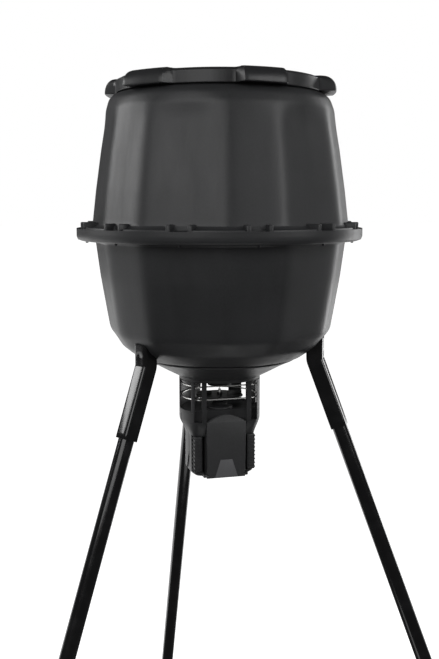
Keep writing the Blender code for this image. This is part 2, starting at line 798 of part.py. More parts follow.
def make_box():
    stations = (
        (0, DECK_LEVEL, 0),
        (0, BOX_SHOULDER, 0),
        (0, BOX_WAIST, 1),
        (0, BOX_FOOT, 1),
        (BOX_FOOT_INSET, BOX_BOTTOM, 1),
    )
    skin = loft("control_housing", stations, box_section, 48, True)
    box = place("control_housing", skin, box_plastic)
    wall = BOX_WALL
    inner = (
        (wall, DECK_LEVEL - wall, 0),
        (wall, BOX_SHOULDER, 0),
        (wall, BOX_WAIST, 1),
        (wall, BOX_FOOT, 1),
        (BOX_FOOT_INSET, BOX_BOTTOM + wall, 1),
    )
    hollow = cutter("box_hollow", loft("box_hollow", inner, box_section, 48, True))

    # The front is stepped back behind the door, and its corners behind the two latches.
    door_side = DOOR_HALF + 0.001
    low = (-door_side, -BEYOND, BOX_BOTTOM - BEYOND)
    step = box_mesh("door_step", low, (door_side, -BOX_FRONT, DOOR_STEP_TOP))
    boolean(box, cutter("door_step", step), solver="MANIFOLD")
    low = (-door_side - wall, -BEYOND, BOX_BOTTOM - BEYOND)
    high = (door_side + wall, -BOX_FRONT + wall, DOOR_STEP_TOP + wall)
    step = box_mesh("hollow_door_step", low, high)
    boolean(hollow, cutter("hollow_door_step", step), solver="MANIFOLD")
    steps = latch_steps("latch_steps", 0)
    boolean(box, cutter("latch_steps", steps), solver="MANIFOLD")
    steps = latch_steps("hollow_latch_steps", wall)
    boolean(hollow, cutter("hollow_latch_steps", steps), solver="MANIFOLD")
    boolean(box, hollow, solver="MANIFOLD")

    low = (-DOOR_OPENING_HALF, -BEYOND, DOOR_OPENING_BOTTOM)
    high = (DOOR_OPENING_HALF, -BOX_FRONT + 2 * wall, DOOR_OPENING_TOP)
    opening = box_mesh("door_opening", low, high)
    boolean(box, cutter("door_opening", opening), solver="MANIFOLD")
    shaft_hole = bmesh.new()
    add_cylinder(shaft_hole, SHAFT_HOLE, 0.02, Matrix.Translation((0, 0, DECK_LEVEL)), 16)
    boolean(box, cutter("shaft_hole", mesh_of("shaft_hole", shaft_hole)), solver="MANIFOLD")

    # Two ears hold the ends of the door's hinge pin.
    ears = bmesh.new()
    for side in (-1, 1):
        ear = DOOR_HALF + 0.0005
        near, far = sorted((side * ear, side * (ear + EAR_WIDTH)))
        low = (near, HINGE_Y - HINGE_RADIUS, HINGE_Z - HINGE_RADIUS)
        add_box(ears, low, (far, -EAR_BACK, HINGE_Z + HINGE_RADIUS))
    boolean(box, cutter("hinge_ears", mesh_of("hinge_ears", ears)), "UNION", "MANIFOLD")
    pin_hole = bmesh.new()
    sideways = Matrix.Rotation(math.radians(90), 4, "Y")
    hinge_line = Matrix.Translation((0, HINGE_Y, HINGE_Z)) @ sideways
    add_cylinder(pin_hole, PIN_RADIUS + GAP, 2 * BEYOND, hinge_line, 12)
    pin_bore = cutter("pin_bore", mesh_of("pin_bore", pin_hole))
    boolean(box, pin_bore, solver="MANIFOLD")

    pin_shape = bmesh.new()
    add_cylinder(pin_shape, PIN_RADIUS, 2 * (DOOR_HALF + EAR_WIDTH), sideways, 12)
    pin = place("door_pin", mesh_of("door_pin", pin_shape), bright_steel)
    pin.location = (0, HINGE_Y, HINGE_Z)
    return pin_bore


def door_outline(inset, bottom):
    """The door from the front: straight sides and an arched top."""
    half = DOOR_HALF - inset
    rise = DOOR_PEAK - DOOR_SHOULDER
    points = [(-half + 0.0015, bottom)]
    arcs = 10
    for step in range(arcs + 1):
        share = -1 + 2 * step / arcs
        points.append((half * share, DOOR_SHOULDER - inset + rise * math.cos(share * math.pi / 2)))
    points.append((half - 0.0015, bottom))
    return points


def make_door(pin_bore):
    """A shallow tray with an arched top, hinged on a knuckle along its lower edge."""
    hinge = bpy.data.objects.new("door_hinge", None)
    hinge.location = (0, HINGE_Y, HINGE_Z)
    hinge.parent = hopper_axis
    parts.objects.link(hinge)
    thickness = DOOR_BACK - DOOR_FACE
    mesh = extruded("front_door", door_outline(0, HINGE_Z), thickness / 2)
    door = place("front_door", mesh, door_plastic, hinge)
    shift = Matrix.Translation((0, (DOOR_BACK + DOOR_FACE) / 2 - HINGE_Y, -HINGE_Z))
    mesh.transform(shift)
    bevel(door, 0.002)
    tray_foot = HINGE_Z + HINGE_RADIUS + 0.001
    tray = extruded("door_tray", door_outline(DOOR_WALL, tray_foot), thickness / 2)
    tray.transform(Matrix.Translation((0, DOOR_WALL, 0)) @ shift)
    boolean(door, cutter("door_tray", tray, hinge))
    knuckle_shape = bmesh.new()
    along = Matrix.Rotation(math.radians(90), 4, "Y")
    add_cylinder(knuckle_shape, HINGE_RADIUS, 2 * (DOOR_HALF - 0.0015), along, 16)
    boolean(door, cutter("door_knuckle", mesh_of("door_knuckle", knuckle_shape), hinge), "UNION")
    boolean(door, pin_bore)


def make_latches():
    for side, name in ((-1, "left"), (1, "right")):
        pivot = bpy.data.objects.new(f"latch_pivot_{name}", None)
        pivot.location = (side * LATCH_PIVOT[0], LATCH_PIVOT[1], 0)
        pivot.parent = hopper_axis
        parts.objects.link(pivot)
        near, far = sorted((side * LATCH_INNER, side * LATCH_OUTER))
        low = (near, LATCH_FRONT, LATCH_BOTTOM)
        mesh = box_mesh(f"latch_{name}", low, (far, LATCH_BACK, LATCH_TOP))
        mesh.transform(Matrix.Translation(-pivot.location))
        latch = place(f"latch_{name}", mesh, door_plastic, pivot)
        bevel(latch, 0.002, 2)


def make_inside():
    """The motor, whose bore is closed at its foot, the battery, and the timer with its buttons."""
    motor_top = DECK_LEVEL - BOX_WALL - GAP
    motor = (
        (MOTOR_BORE, motor_top),
        (MOTOR_RADIUS, motor_top),
        (MOTOR_RADIUS, motor_top - MOTOR_LENGTH),
        (0, motor_top - MOTOR_LENGTH),
        (0, MOTOR_BORE_FOOT),
        (MOTOR_BORE, MOTOR_BORE_FOOT),
        (MOTOR_BORE, motor_top),
    )
    turned("motor", motor, painted_steel, 24)

    battery = box_mesh("battery", BATTERY_LOW, BATTERY_HIGH)
    bevel(place("battery", battery, battery_case), 0.002)
    panel = box_mesh("timer_panel", PANEL_LOW, PANEL_HIGH)
    timer = place("timer_panel", panel, box_plastic)
    room = Vector((GAP, GAP, GAP))
    low = Vector(DISPLAY_LOW) - room
    low.y = PANEL_LOW[1] - 0.01
    recess = box_mesh("display_recess", low, Vector(DISPLAY_HIGH) + room)
    boolean(timer, cutter("display_recess", recess))
    glass = box_mesh("display", DISPLAY_LOW, DISPLAY_HIGH)
    place("display", glass, display_glass)

    holes = bmesh.new()
    forwards = Matrix.Rotation(math.radians(90), 4, "X")
    for number in range(BUTTON_COUNT):
        spot = (BUTTON_FIRST + BUTTON_PITCH * number, BUTTON_Y, BUTTON_LEVEL)
        add_cylinder(holes, BUTTON_HOLE, 0.02, Matrix.Translation(spot) @ forwards, 16)
        shape = bmesh.new()
        add_cylinder(shape, BUTTON_RADIUS, BUTTON_LENGTH, forwards, 16)
        name = f"timer_button_{number + 1}"
        button = place(name, mesh_of(name, shape), button_plastic)
        button.location = spot
    boolean(timer, cutter("button_holes", mesh_of("button_holes", holes)))


hopper_lower = make_hopper()
make_flange_bolts()
make_lid()
make_funnel()
for leg_azimuth, leg_side in zip(LEG_AZIMUTHS, ("left", "right", "rear")):
    make_bracket(leg_azimuth, f"leg_bracket_{leg_side}", hopper_lower)
    make_leg(leg_azimuth, leg_side)
make_cage()
make_spinner()
door_bore = make_box()
make_door(door_bore)
make_latches()
make_inside()
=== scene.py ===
import math

import bmesh
import bpy
from mathutils import Matrix, Vector


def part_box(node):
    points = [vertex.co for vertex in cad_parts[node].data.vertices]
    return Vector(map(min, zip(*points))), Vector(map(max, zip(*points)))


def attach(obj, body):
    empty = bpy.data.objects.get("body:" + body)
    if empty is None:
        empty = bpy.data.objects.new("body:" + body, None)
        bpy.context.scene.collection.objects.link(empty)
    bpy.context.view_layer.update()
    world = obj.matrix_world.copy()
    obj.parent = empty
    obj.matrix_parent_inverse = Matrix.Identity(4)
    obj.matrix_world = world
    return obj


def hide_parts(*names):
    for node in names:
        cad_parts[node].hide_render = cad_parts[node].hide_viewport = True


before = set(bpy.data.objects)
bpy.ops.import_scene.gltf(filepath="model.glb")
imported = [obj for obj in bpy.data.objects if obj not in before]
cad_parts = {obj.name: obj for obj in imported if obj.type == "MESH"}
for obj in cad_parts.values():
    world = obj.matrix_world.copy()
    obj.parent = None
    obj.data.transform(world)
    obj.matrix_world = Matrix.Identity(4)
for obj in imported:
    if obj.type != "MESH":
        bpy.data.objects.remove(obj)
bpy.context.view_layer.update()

standBody = "stand_and_hopper"

# Every piece is built about the hopper's axis, with heights from the underside of its flange.
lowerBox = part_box("hopper_lower")
flangeLip = 0.023
axisPoint = Vector((
    (lowerBox[0].x + lowerBox[1].x) / 2, (lowerBox[0].y + lowerBox[1].y) / 2, lowerBox[1].z - flangeLip,
))
toFrame = Matrix.Translation(axisPoint)
groundLevel = -axisPoint.z
print("hopper axis", axisPoint)


class Signal:
    # A shader socket that ordinary arithmetic works on.
    def __init__(self, tree, socket):
        self.tree = tree
        self.socket = socket

    def combine(self, operation, first, second):
        node = self.tree.nodes.new("ShaderNodeMath")
        node.operation = operation
        for place, value in enumerate((first, second)):
            if isinstance(value, Signal):
                self.tree.links.new(value.socket, node.inputs[place])
            else:
                node.inputs[place].default_value = value
        return Signal(self.tree, node.outputs[0])

    def __add__(self, other):
        return self.combine("ADD", self, other)

    def __radd__(self, other):
        return self.combine("ADD", other, self)

    def __sub__(self, other):
        return self.combine("SUBTRACT", self, other)

    def __rsub__(self, other):
        return self.combine("SUBTRACT", other, self)

    def __mul__(self, other):
        return self.combine("MULTIPLY", self, other)

    def __rmul__(self, other):
        return self.combine("MULTIPLY", other, self)


class Shading:
    # A node tree with one main shader, and a method that adds any other node.
    def __init__(self, tree, shader):
        self.tree = tree
        self.shader = tree.nodes[shader]

    def setInput(self, socket, value, node=None):
        target = (node or self.shader).inputs[socket]
        if isinstance(value, Signal):
            self.tree.links.new(value.socket, target)
        else:
            target.default_value = value

    def add(self, kind, settings=None, inputs=None, output=0):
        node = self.tree.nodes.new("ShaderNode" + kind)
        for setting, value in (settings or {}).items():
            setattr(node, setting, value)
        for socket, value in (inputs or {}).items():
            self.setInput(socket, value, node)
        return Signal(self.tree, node.outputs[output])


class Finish(Shading):
    # One material of the feeder.
    def __init__(self, name, colour, roughness, **constants):
        self.material = bpy.data.materials.new(name)
        self.material.use_nodes = True
        super().__init__(self.material.node_tree, "Principled BSDF")
        self.setInput("Base Color", (*colour, 1))
        self.setInput("Roughness", roughness)
        for socket, value in constants.items():
            self.setInput(socket.replace("_", " "), value)

    def place(self, scale=(1, 1, 1)):
        spot = self.add("TexCoord", output="Object")
        return self.add("Mapping", inputs={"Vector": spot, "Scale": scale})

    def noise(self, scale, detail=2.0, stretch=(1, 1, 1), rough=0.5):
        settings = {"Vector": self.place(stretch), "Scale": scale, "Detail": detail, "Roughness": rough}
        return self.add("TexNoise", inputs=settings)

    def spread(self, signal, low, high, fromLow=0.3, fromHigh=0.7):
        values = {"Value": signal, "From Min": fromLow, "From Max": fromHigh, "To Min": low, "To Max": high}
        return self.add("MapRange", inputs=values)

    def mixColour(self, share, first, second):
        values = {0: share, 6: (*first, 1), 7: (*second, 1)}
        return self.add("Mix", {"data_type": "RGBA"}, values, output=2)

    def bump(self, height, distance, strength=1.0, below=None):
        values = {"Height": height, "Distance": distance, "Strength": strength}
        if below:
            values["Normal"] = below
        return self.add("Bump", inputs=values)


def mouldedPlastic(name, dark, light, roughness, grainScale=950, grainDepth=0.00012):
    # Satin moulding: a fine sand-blasted grain, slow shade drift and faint vertical scuffs.
    finish = Finish(name, dark, roughness)
    drift = finish.noise(7.0, 4.0)
    scuffs = finish.noise(30.0, 5.0, (1.0, 1.0, 0.12), 0.6)
    specks = finish.noise(260.0, 3.0)
    share = finish.spread(drift * 0.6 + specks * 0.4, 0.0, 1.0, 0.35, 0.65)
    finish.setInput("Base Color", finish.mixColour(share, dark, light))
    worn = finish.spread(scuffs * 0.7 + drift * 0.3, roughness - 0.05, roughness + 0.07)
    finish.setInput("Roughness", worn)
    grain = finish.noise(grainScale, 2.0)
    wave = finish.noise(11.0, 2.0)
    finish.setInput("Normal", finish.bump(grain, grainDepth, 0.6, finish.bump(wave, 0.0012, 0.35)))
    return finish.material


def glossPaint(name, colour, roughness):
    # Powder coat: orange peel under a clear sheen, with dust in places.
    finish = Finish(name, colour, roughness, Coat_Weight=0.5, Coat_Roughness=0.08)
    dust = finish.noise(22.0, 5.0)
    peel = finish.noise(420.0, 2.0)
    lighter = tuple(channel * 1.9 + 0.002 for channel in colour)
    finish.setInput("Base Color", finish.mixColour(finish.spread(dust, 0.0, 1.0, 0.45, 0.8), colour, lighter))
    finish.setInput("Roughness", finish.spread(dust, roughness, roughness + 0.12, 0.4, 0.8))
    finish.setInput("Normal", finish.bump(peel, 0.0002, 0.15))
    return finish.material


def plainSteel(name, colour, roughness, brushed=(1, 1, 1)):
    # Bright metal with drawing marks and a little tarnish.
    finish = Finish(name, colour, roughness, Metallic=1.0)
    marks = finish.noise(700.0, 3.0, brushed)
    tarnish = finish.noise(60.0, 4.0)
    darker = tuple(channel * 0.62 for channel in colour)
    stained = finish.spread(tarnish, 0.0, 0.8, 0.45, 0.75)
    finish.setInput("Base Color", finish.mixColour(stained, colour, darker))
    worn = finish.spread(marks * 0.5 + tarnish * 0.5, roughness - 0.06, roughness + 0.16)
    finish.setInput("Roughness", worn)
    finish.setInput("Normal", finish.bump(marks, 0.00008, 0.4))
    return finish.material


def rubberMould(name, colour):
    finish = Finish(name, colour, 0.75)
    bloom = finish.noise(45.0, 4.0)
    dusty = tuple(channel * 2.2 + 0.006 for channel in colour)
    finish.setInput("Base Color", finish.mixColour(finish.spread(bloom, 0.0, 0.7, 0.45, 0.8), colour, dusty))
    finish.setInput("Roughness", finish.spread(bloom, 0.66, 0.86))
    finish.setInput("Normal", finish.bump(finish.noise(600.0, 3.0), 0.0002, 0.6))
    return finish.material


shades = {
    "hopperDark": (0.029, 0.0297, 0.031),
    "hopperLight": (0.038, 0.0387, 0.041),
    "lidDark": (0.020, 0.0205, 0.022),
    "lidLight": (0.028, 0.0285, 0.030),
    "boxDark": (0.026, 0.0265, 0.028),
    "boxLight": (0.038, 0.0385, 0.040),
    "doorDark": (0.040, 0.0405, 0.042),
    "doorLight": (0.055, 0.0555, 0.058),
    "panel": (0.130, 0.131, 0.136),
    "paint": (0.006, 0.006, 0.0065),
}
hopperPlastic = mouldedPlastic("hopperPlastic", shades["hopperDark"], shades["hopperLight"], 0.42)
lidPlastic = mouldedPlastic("lidPlastic", shades["lidDark"], shades["lidLight"], 0.38)
boxPlastic = mouldedPlastic("boxPlastic", shades["boxDark"], shades["boxLight"], 0.45, 1400, 0.00010)
doorPlastic = mouldedPlastic("doorPlastic", shades["doorDark"], shades["doorLight"], 0.42, 1400, 0.00010)
panelLight = tuple(channel * 1.2 for channel in shades["panel"])
panelPlastic = mouldedPlastic("panelPlastic", shades["panel"], panelLight, 0.45, 1400)
keyPlastic = mouldedPlastic("keyPlastic", (0.30, 0.31, 0.33), (0.36, 0.37, 0.39), 0.35, 1500)
batteryPlastic = mouldedPlastic("batteryPlastic", (0.08, 0.08, 0.085), (0.11, 0.11, 0.115), 0.35, 1200)
blackPaint = glossPaint("blackPaint", shades["paint"], 0.16)
spinnerPaint = glossPaint("spinnerPaint", (0.012, 0.012, 0.011), 0.28)
boltZinc = plainSteel("boltZinc", (0.075, 0.075, 0.080), 0.42)
wireSteel = plainSteel("wireSteel", (0.78, 0.78, 0.76), 0.28, (1, 1, 6))
footRubber = rubberMould("footRubber", (0.014, 0.014, 0.014))
sealRubber = rubberMould("sealRubber", (0.020, 0.020, 0.021))
displayFinish = Finish("displayWindow", (0.20, 0.24, 0.18), 0.12, Coat_Weight=1.0)
displayCloud = displayFinish.noise(80.0, 3.0)
displayColour = displayFinish.mixColour(displayCloud, (0.16, 0.20, 0.14), (0.24, 0.28, 0.21))
displayFinish.setInput("Base Color", displayColour)
displayWindow = displayFinish.material
print("materials ready")


def link(made):
    bpy.context.scene.collection.objects.link(made)


def makePiece(name, shape, material, body, nodes=(), smooth=30, turn=None):
    # Finishes a bmesh as a piece in the frame that rides on a body and stands for these nodes.
    mesh = bpy.data.meshes.new(name)
    shape.to_mesh(mesh)
    shape.free()
    mesh.transform(toFrame @ turn if turn else toFrame)
    mesh.materials.append(material)
    mesh.shade_smooth()
    mesh.set_sharp_from_angle(angle=math.radians(smooth))
    piece = bpy.data.objects.new(name, mesh)
    link(piece)
    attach(piece, body)
    if nodes:
        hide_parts(*nodes)
    return piece


def outward(azimuth):
    # Turns a shape built along +X so that +X points out at this azimuth, in degrees from the front.
    return Matrix.Rotation(math.radians(azimuth - 90), 4, "Z")


def rounded(points, finest=0.0008):
    # A path of (radius, height, fillet) corners, with each fillet drawn as an arc.
    path = []
    for number, (across, height, fillet) in enumerate(points):
        corner = Vector((across, height))
        if not fillet or number in (0, len(points) - 1):
            path.append(corner)
            continue
        back = Vector(points[number - 1][:2]) - corner
        ahead = Vector(points[number + 1][:2]) - corner
        turnAngle = math.pi - back.angle(ahead)
        reach = min(fillet * math.tan(turnAngle / 2), back.length * 0.49, ahead.length * 0.49)
        steps = max(2, min(8, round(turnAngle * fillet / finest)))
        start = corner + back.normalized() * reach
        end = corner + ahead.normalized() * reach
        for step in range(steps + 1):
            share = step / steps
            path.append(start * (1 - share) ** 2 + corner * 2 * share * (1 - share) + end * share ** 2)
    return path


def walled(path, wall):
    # The closed outline of a wall: the outer path and back along its inside.
    inner = []
    for number, point in enumerate(path):
        before = path[max(number - 1, 0)]
        after = path[min(number + 1, len(path) - 1)]
        along = (after - before).normalized()
        inner.append(point + Vector((along.y, -along.x)) * wall)
    return path + inner[::-1]


def turned(outline, steps=144, closed=True):
    # Spins an outline of (radius, height) points about Z.
    shape = bmesh.new()
    points = [shape.verts.new((point[0], 0, point[1])) for point in outline]
    for first, second in zip(points, points[1:]):
        shape.edges.new((first, second))
    if closed:
        shape.edges.new((points[-1], points[0]))
    bmesh.ops.spin(
        shape, geom=shape.verts[:] + shape.edges[:], cent=(0, 0, 0), axis=(0, 0, 1),
        angle=math.tau, steps=steps, use_merge=True,
    )
    bmesh.ops.remove_doubles(shape, verts=shape.verts, dist=1e-6)
    bmesh.ops.recalc_face_normals(shape, faces=shape.faces)
    return shape


def splitLong(path, longest):
    # Puts points along the long straight stretches of a path.
    fine = [path[0]]
    for before, after in zip(path, path[1:]):
        count = max(1, math.ceil((after - before).length / longest))
        for step in range(1, count + 1):
            fine.append(before.lerp(after, step / count))
    return fine


def smoothStep(low, high, value):
    share = min(max((value - low) / (high - low), 0.0), 1.0)
    return share * share * (3 - 2 * share)


facets = {"narrowHalf": math.radians(12), "wideHalf": math.radians(18), "soften": 0.0045}


def facetFactor(azimuth, radius):
    # The twelve-sided plan's radius over its corner radius, with the corners softened.
    nearest = 0.0
    soften = facets["soften"] / radius
    for side in range(12):
        half = facets["wideHalf"] if side % 2 else facets["narrowHalf"]
        away = math.cos(azimuth - side * math.tau / 12)
        if away > 0.4:
            nearest += math.exp(-math.cos(half) / away / soften)
    return -soften * math.log(nearest)


def facetPlan(shape, faceting):
    # Pulls a turned shape's points in to the twelve-sided plan. faceting(radius, height) is 0 to 1.
    for point in shape.verts:
        radius = math.hypot(point.co.x, point.co.y)
        amount = faceting(radius, point.co.z)
        if amount > 0:
            azimuth = math.atan2(point.co.x, -point.co.y)
            factor = 1 + amount * (facetFactor(azimuth, radius) - 1)
            point.co.x *= factor
            point.co.y *= factor
    return shape


def roundEdges(shape, edges, width, segments):
    bmesh.ops.bevel(
        shape, geom=edges, offset=width, segments=segments, affect="EDGES", profile=0.5, material=-1,
    )


def addBox(shape, low, high, turn=None, bevelWidth=0.0, segments=2):
    low, high = Vector(low), Vector(high)
    made = bmesh.ops.create_cube(shape, size=1)["verts"]
    bmesh.ops.scale(shape, vec=high - low, verts=made)
    bmesh.ops.translate(shape, vec=(low + high) / 2, verts=made)
    if turn:
        bmesh.ops.transform(shape, matrix=turn, verts=made)
    if bevelWidth:
        edges = {edge for point in made for edge in point.link_edges}
        roundEdges(shape, list(edges), bevelWidth, segments)


def addRod(shape, radius, length, matrix, segments=24, bevelWidth=0.0):
    made = bmesh.ops.create_cone(
        shape, cap_ends=True, segments=segments, radius1=radius, radius2=radius, depth=length, matrix=matrix,
    )["verts"]
    if bevelWidth:
        edges = {edge for point in made for edge in point.link_edges}
        roundEdges(shape, [edge for edge in edges if edge.calc_face_angle(0) > 1], bevelWidth, 2)


def bevelSharp(shape, width, angle=30, segments=2):
    limit = math.radians(angle)
    sharp = [edge for edge in shape.edges if edge.is_manifold and edge.calc_face_angle(0) > limit]
    roundEdges(shape, sharp, width, segments)


def addShape(shape, other):
    # Takes another shape into this one.
    holder = bpy.data.meshes.new("joining")
    other.to_mesh(holder)
    other.free()
    shape.from_mesh(holder)
    bpy.data.meshes.remove(holder)


def carve(shape, tool, operation="DIFFERENCE"):
    # A Boolean of two bmeshes, done on throwaway objects.
    holders = []
    for source in (shape, tool):
        mesh = bpy.data.meshes.new("carving")
        source.to_mesh(mesh)
        source.free()
        holder = bpy.data.objects.new("carving", mesh)
        link(holder)
        holders.append(holder)
    cut = holders[0].modifiers.new("cut", "BOOLEAN")
    cut.operation = operation
    cut.solver = "MANIFOLD"
    cut.object = holders[1]
    graph = bpy.context.evaluated_depsgraph_get()
    result = bmesh.new()
    result.from_mesh(holders[0].evaluated_get(graph).to_mesh())
    for holder in holders:
        mesh = holder.data
        bpy.data.objects.remove(holder, do_unlink=True)
        bpy.data.meshes.remove(mesh)
    bmesh.ops.dissolve_limit(result, angle_limit=0.002, verts=result.verts, edges=result.edges)
    return result


# Hopper
upperHopper = {
    "wall": 0.0035,
    "steps": 360,
    "profile": (
        (0.3108, 0.0045, 0), (0.3108, 0.0085, 0.0015), (0.3070, 0.0085, 0.001), (0.3062, 0.0262, 0.002),
        (0.2955, 0.0266, 0.002), (0.2912, 0.0330, 0.004),
        (0.2825, 0.1050, 0.3), (0.2697, 0.1920, 0.3), (0.2548, 0.2780, 0.05), (0.2445, 0.3010, 0.03),
        (0.2340, 0.3105, 0.012), (0.2225, 0.3128, 0.002), (0.2205, 0.3155, 0.001), (0.2205, 0.3340, 0),
    ),
    "roundsUpwards": (0.235, 0.3135),
    "roundsOutwards": (0.2918, 0.2985),
}
lowerHopper = {
    "wall": 0.0035,
    "steps": 360,
    "profile": (
        (0.3160, 0.0230, 0), (0.3160, 0.0000, 0.0060), (0.2870, 0.0000, 0.003), (0.2815, -0.0080, 0.006),
        (0.2715, -0.0850, 0.3), (0.2575, -0.1670, 0.2), (0.2510, -0.2040, 0.03), (0.2250, -0.2345, 0.05),
        (0.1865, -0.2608, 0.004), (0.1820, -0.2618, 0.0015), (0.1800, -0.2590, 0.001), (0.1580, -0.2590, 0),
    ),
    "roundsDownwards": (-0.262, -0.205),
    "roundsOutwards": (0.284, 0.298),
}
ledge = {"inner": 0.2868, "base": 0.0085, "sunkBase": 0.0050, "lip": 0.0036, "gap": (0.0165, 0.0205),
         "leastShare": 0.02, "boltPitch": 30}


def upperFaceting(radius, height):
    faceted = 1 - smoothStep(*upperHopper["roundsUpwards"], height)
    return faceted * (1 - smoothStep(*upperHopper["roundsOutwards"], radius))


def lowerFaceting(radius, height):
    faceted = smoothStep(*lowerHopper["roundsDownwards"], height)
    return faceted * (1 - smoothStep(*lowerHopper["roundsOutwards"], radius))


def sinkLedge(shape):
    # The raised ledge round the foot of the wall drops to the flange at each bolt.
    pitch = ledge["boltPitch"]
    for point in shape.verts:
        radius = math.hypot(point.co.x, point.co.y)
        if radius < ledge["inner"] or point.co.z < ledge["sunkBase"]:
            continue
        azimuth = math.degrees(math.atan2(point.co.x, -point.co.y))
        away = math.radians(abs((azimuth + pitch / 2) % pitch - pitch / 2)) * radius
        share = smoothStep(*ledge["gap"], away)
        floor = ledge["base"] if point.co.z > ledge["base"] + ledge["lip"] else ledge["sunkBase"]
        if point.co.z > floor:
            point.co.z = floor + (point.co.z - floor) * max(share, ledge["leastShare"])


for sizes, faceting, label, node in (
    (upperHopper, upperFaceting, "hopperUpper", "hopper_upper"),
    (lowerHopper, lowerFaceting, "hopperLower", "hopper_lower"),
):
    path = splitLong(rounded(sizes["profile"], 0.004), 0.012)
    hopper = facetPlan(turned(walled(path, -sizes["wall"]), sizes["steps"]), faceting)
    if label == "hopperUpper":
        sinkLedge(hopper)
    bmesh.ops.recalc_face_normals(hopper, faces=hopper.faces)
    makePiece(label, hopper, hopperPlastic, standBody, [node], 50)
print("hopper built")

# Flange: a pair of posts about each bolt, and the bolts
flange = {
    "stations": 12,
    "boltReach": 0.299,
    "postOffset": 0.0225,
    "postWidth": 0.0085,
    "postReach": 0.3095,
    "postTop": 0.0365,
    "postBase": 0.0080,
    "webSpread": 0.010,
    "webReach": 0.3035,
    "webDrop": 0.010,
    "ribHalf": 0.019,
    "ribDepth": 0.005,
    "ribDrop": 0.008,
    "wallFoot": 0.2908,
    "sunk": 0.002,
    "nutTurn": 0.7,
    # Washer, nut, thread and head: radius, length, middle, sides and edge.
    "boltRods": (
        (0.0098, 0.0012, 0.0095, 32, 0.0003), (0.0078, 0.0062, 0.0133, 6, 0.0006),
        (0.0030, 0.0280, 0.0060, 20, 0.0005), (0.0078, 0.0028, -0.0018, 6, 0.0006),
    ),
}


def flangeStation(azimuth):
    # Two posts, a lower web outside each, and a rib along the wall between them.
    narrow = round(azimuth / 30) % 2 == 0
    half = facets["narrowHalf"] if narrow else facets["wideHalf"]
    inner = flange["wallFoot"] * math.cos(half) - flange["sunk"]
    top, base = flange["postTop"], flange["postBase"]
    shape = bmesh.new()
    for side in (-1, 1):
        middle = side * flange["postOffset"]
        width = flange["postWidth"] / 2
        high = (flange["postReach"], middle + width, top)
        addBox(shape, (inner, middle - width, base), high, None, 0.0022, 3)
        near, far = sorted((middle, side * (flange["postOffset"] + flange["webSpread"])))
        high = (flange["webReach"], far, top - flange["webDrop"])
        addBox(shape, (inner, near, base), high, None, 0.002, 2)
    high = (inner + flange["ribDepth"], flange["ribHalf"], top - flange["ribDrop"])
    addBox(shape, (inner, -flange["ribHalf"], base), high, None, 0.0015, 2)
    return shape


for station in range(flange["stations"]):
    azimuth = station * 360 / flange["stations"]
    makePiece(f"flangePosts{station + 1:02d}", flangeStation(azimuth), hopperPlastic, standBody, (),
              30, outward(azimuth))
    bolt = bmesh.new()
    for radius, length, middle, sides, edge in flange["boltRods"]:
        turn = Matrix.Rotation(station * flange["nutTurn"] if sides == 6 else 0, 4, "Z")
        addRod(bolt, radius, length, Matrix.Translation((0, 0, middle)) @ turn, sides, edge)
    spot = outward(azimuth) @ Matrix.Translation((flange["boltReach"], 0, 0))
    makePiece(f"flangeBolt{station + 1:02d}", bolt, boltZinc, standBody, [f"flange_bolt_{station + 1:02d}"],
              30, spot)
print("flange built")

# Lid: a shallow crown whose rim swells into six grip lobes
lid = {
    "steps": 360,
    "skirtFoot": 0.3165,
    "skirtTop": 0.3418,
    "skirtRadius": (0.2262, 0.2275),
    "crownFoot": 0.3412,
    "crownRadius": (0.200, 0.212),
    "lobeReach": 0.0290,
    "lobeFirst": 7,
    "lobes": 6,
    "lobeHalf": 10.5,
    "lobeEase": 4.0,
    "lobeTop": 0.3480,
    "lean": 0.16,
    "hollow": 0.0020,
    "squareness": 2.1,
    "outer": (
        (0.0, 0.3515, 0), (0.0600, 0.3512, 0.02), (0.0640, 0.3495, 0.004), (0.1500, 0.3475, 0.004),
        (0.1560, 0.3508, 0.004), (0.1980, 0.3490, 0.01), (0.2200, 0.3458, 0.006), (0.2240, 0.3425, 0.003),
        (0.2290, 0.3418, 0.0035), (0.2290, 0.3150, 0.003), (0.2255, 0.3150, 0.001), (0.2255, 0.3300, 0.002),
        (0.2210, 0.3385, 0.002), (0.1900, 0.3440, 0.01), (0.0, 0.3470, 0),
    ),
}


def lobeShare(azimuth):
    # 1 across a lobe, easing to 0 at its sides, and the reach of its hollow, leaning front.
    pitch = 360 / lid["lobes"]
    away = (azimuth - lid["lobeFirst"] + pitch / 2) % pitch - pitch / 2
    share = 1 - smoothStep(lid["lobeHalf"], lid["lobeHalf"] + lid["lobeEase"], abs(away))
    dip = lid["hollow"] / lid["lobeReach"] * (1 - min(abs(away) / lid["lobeHalf"], 1) ** 2)
    return share, 1 - dip - lid["lean"] * away / lid["lobeHalf"]


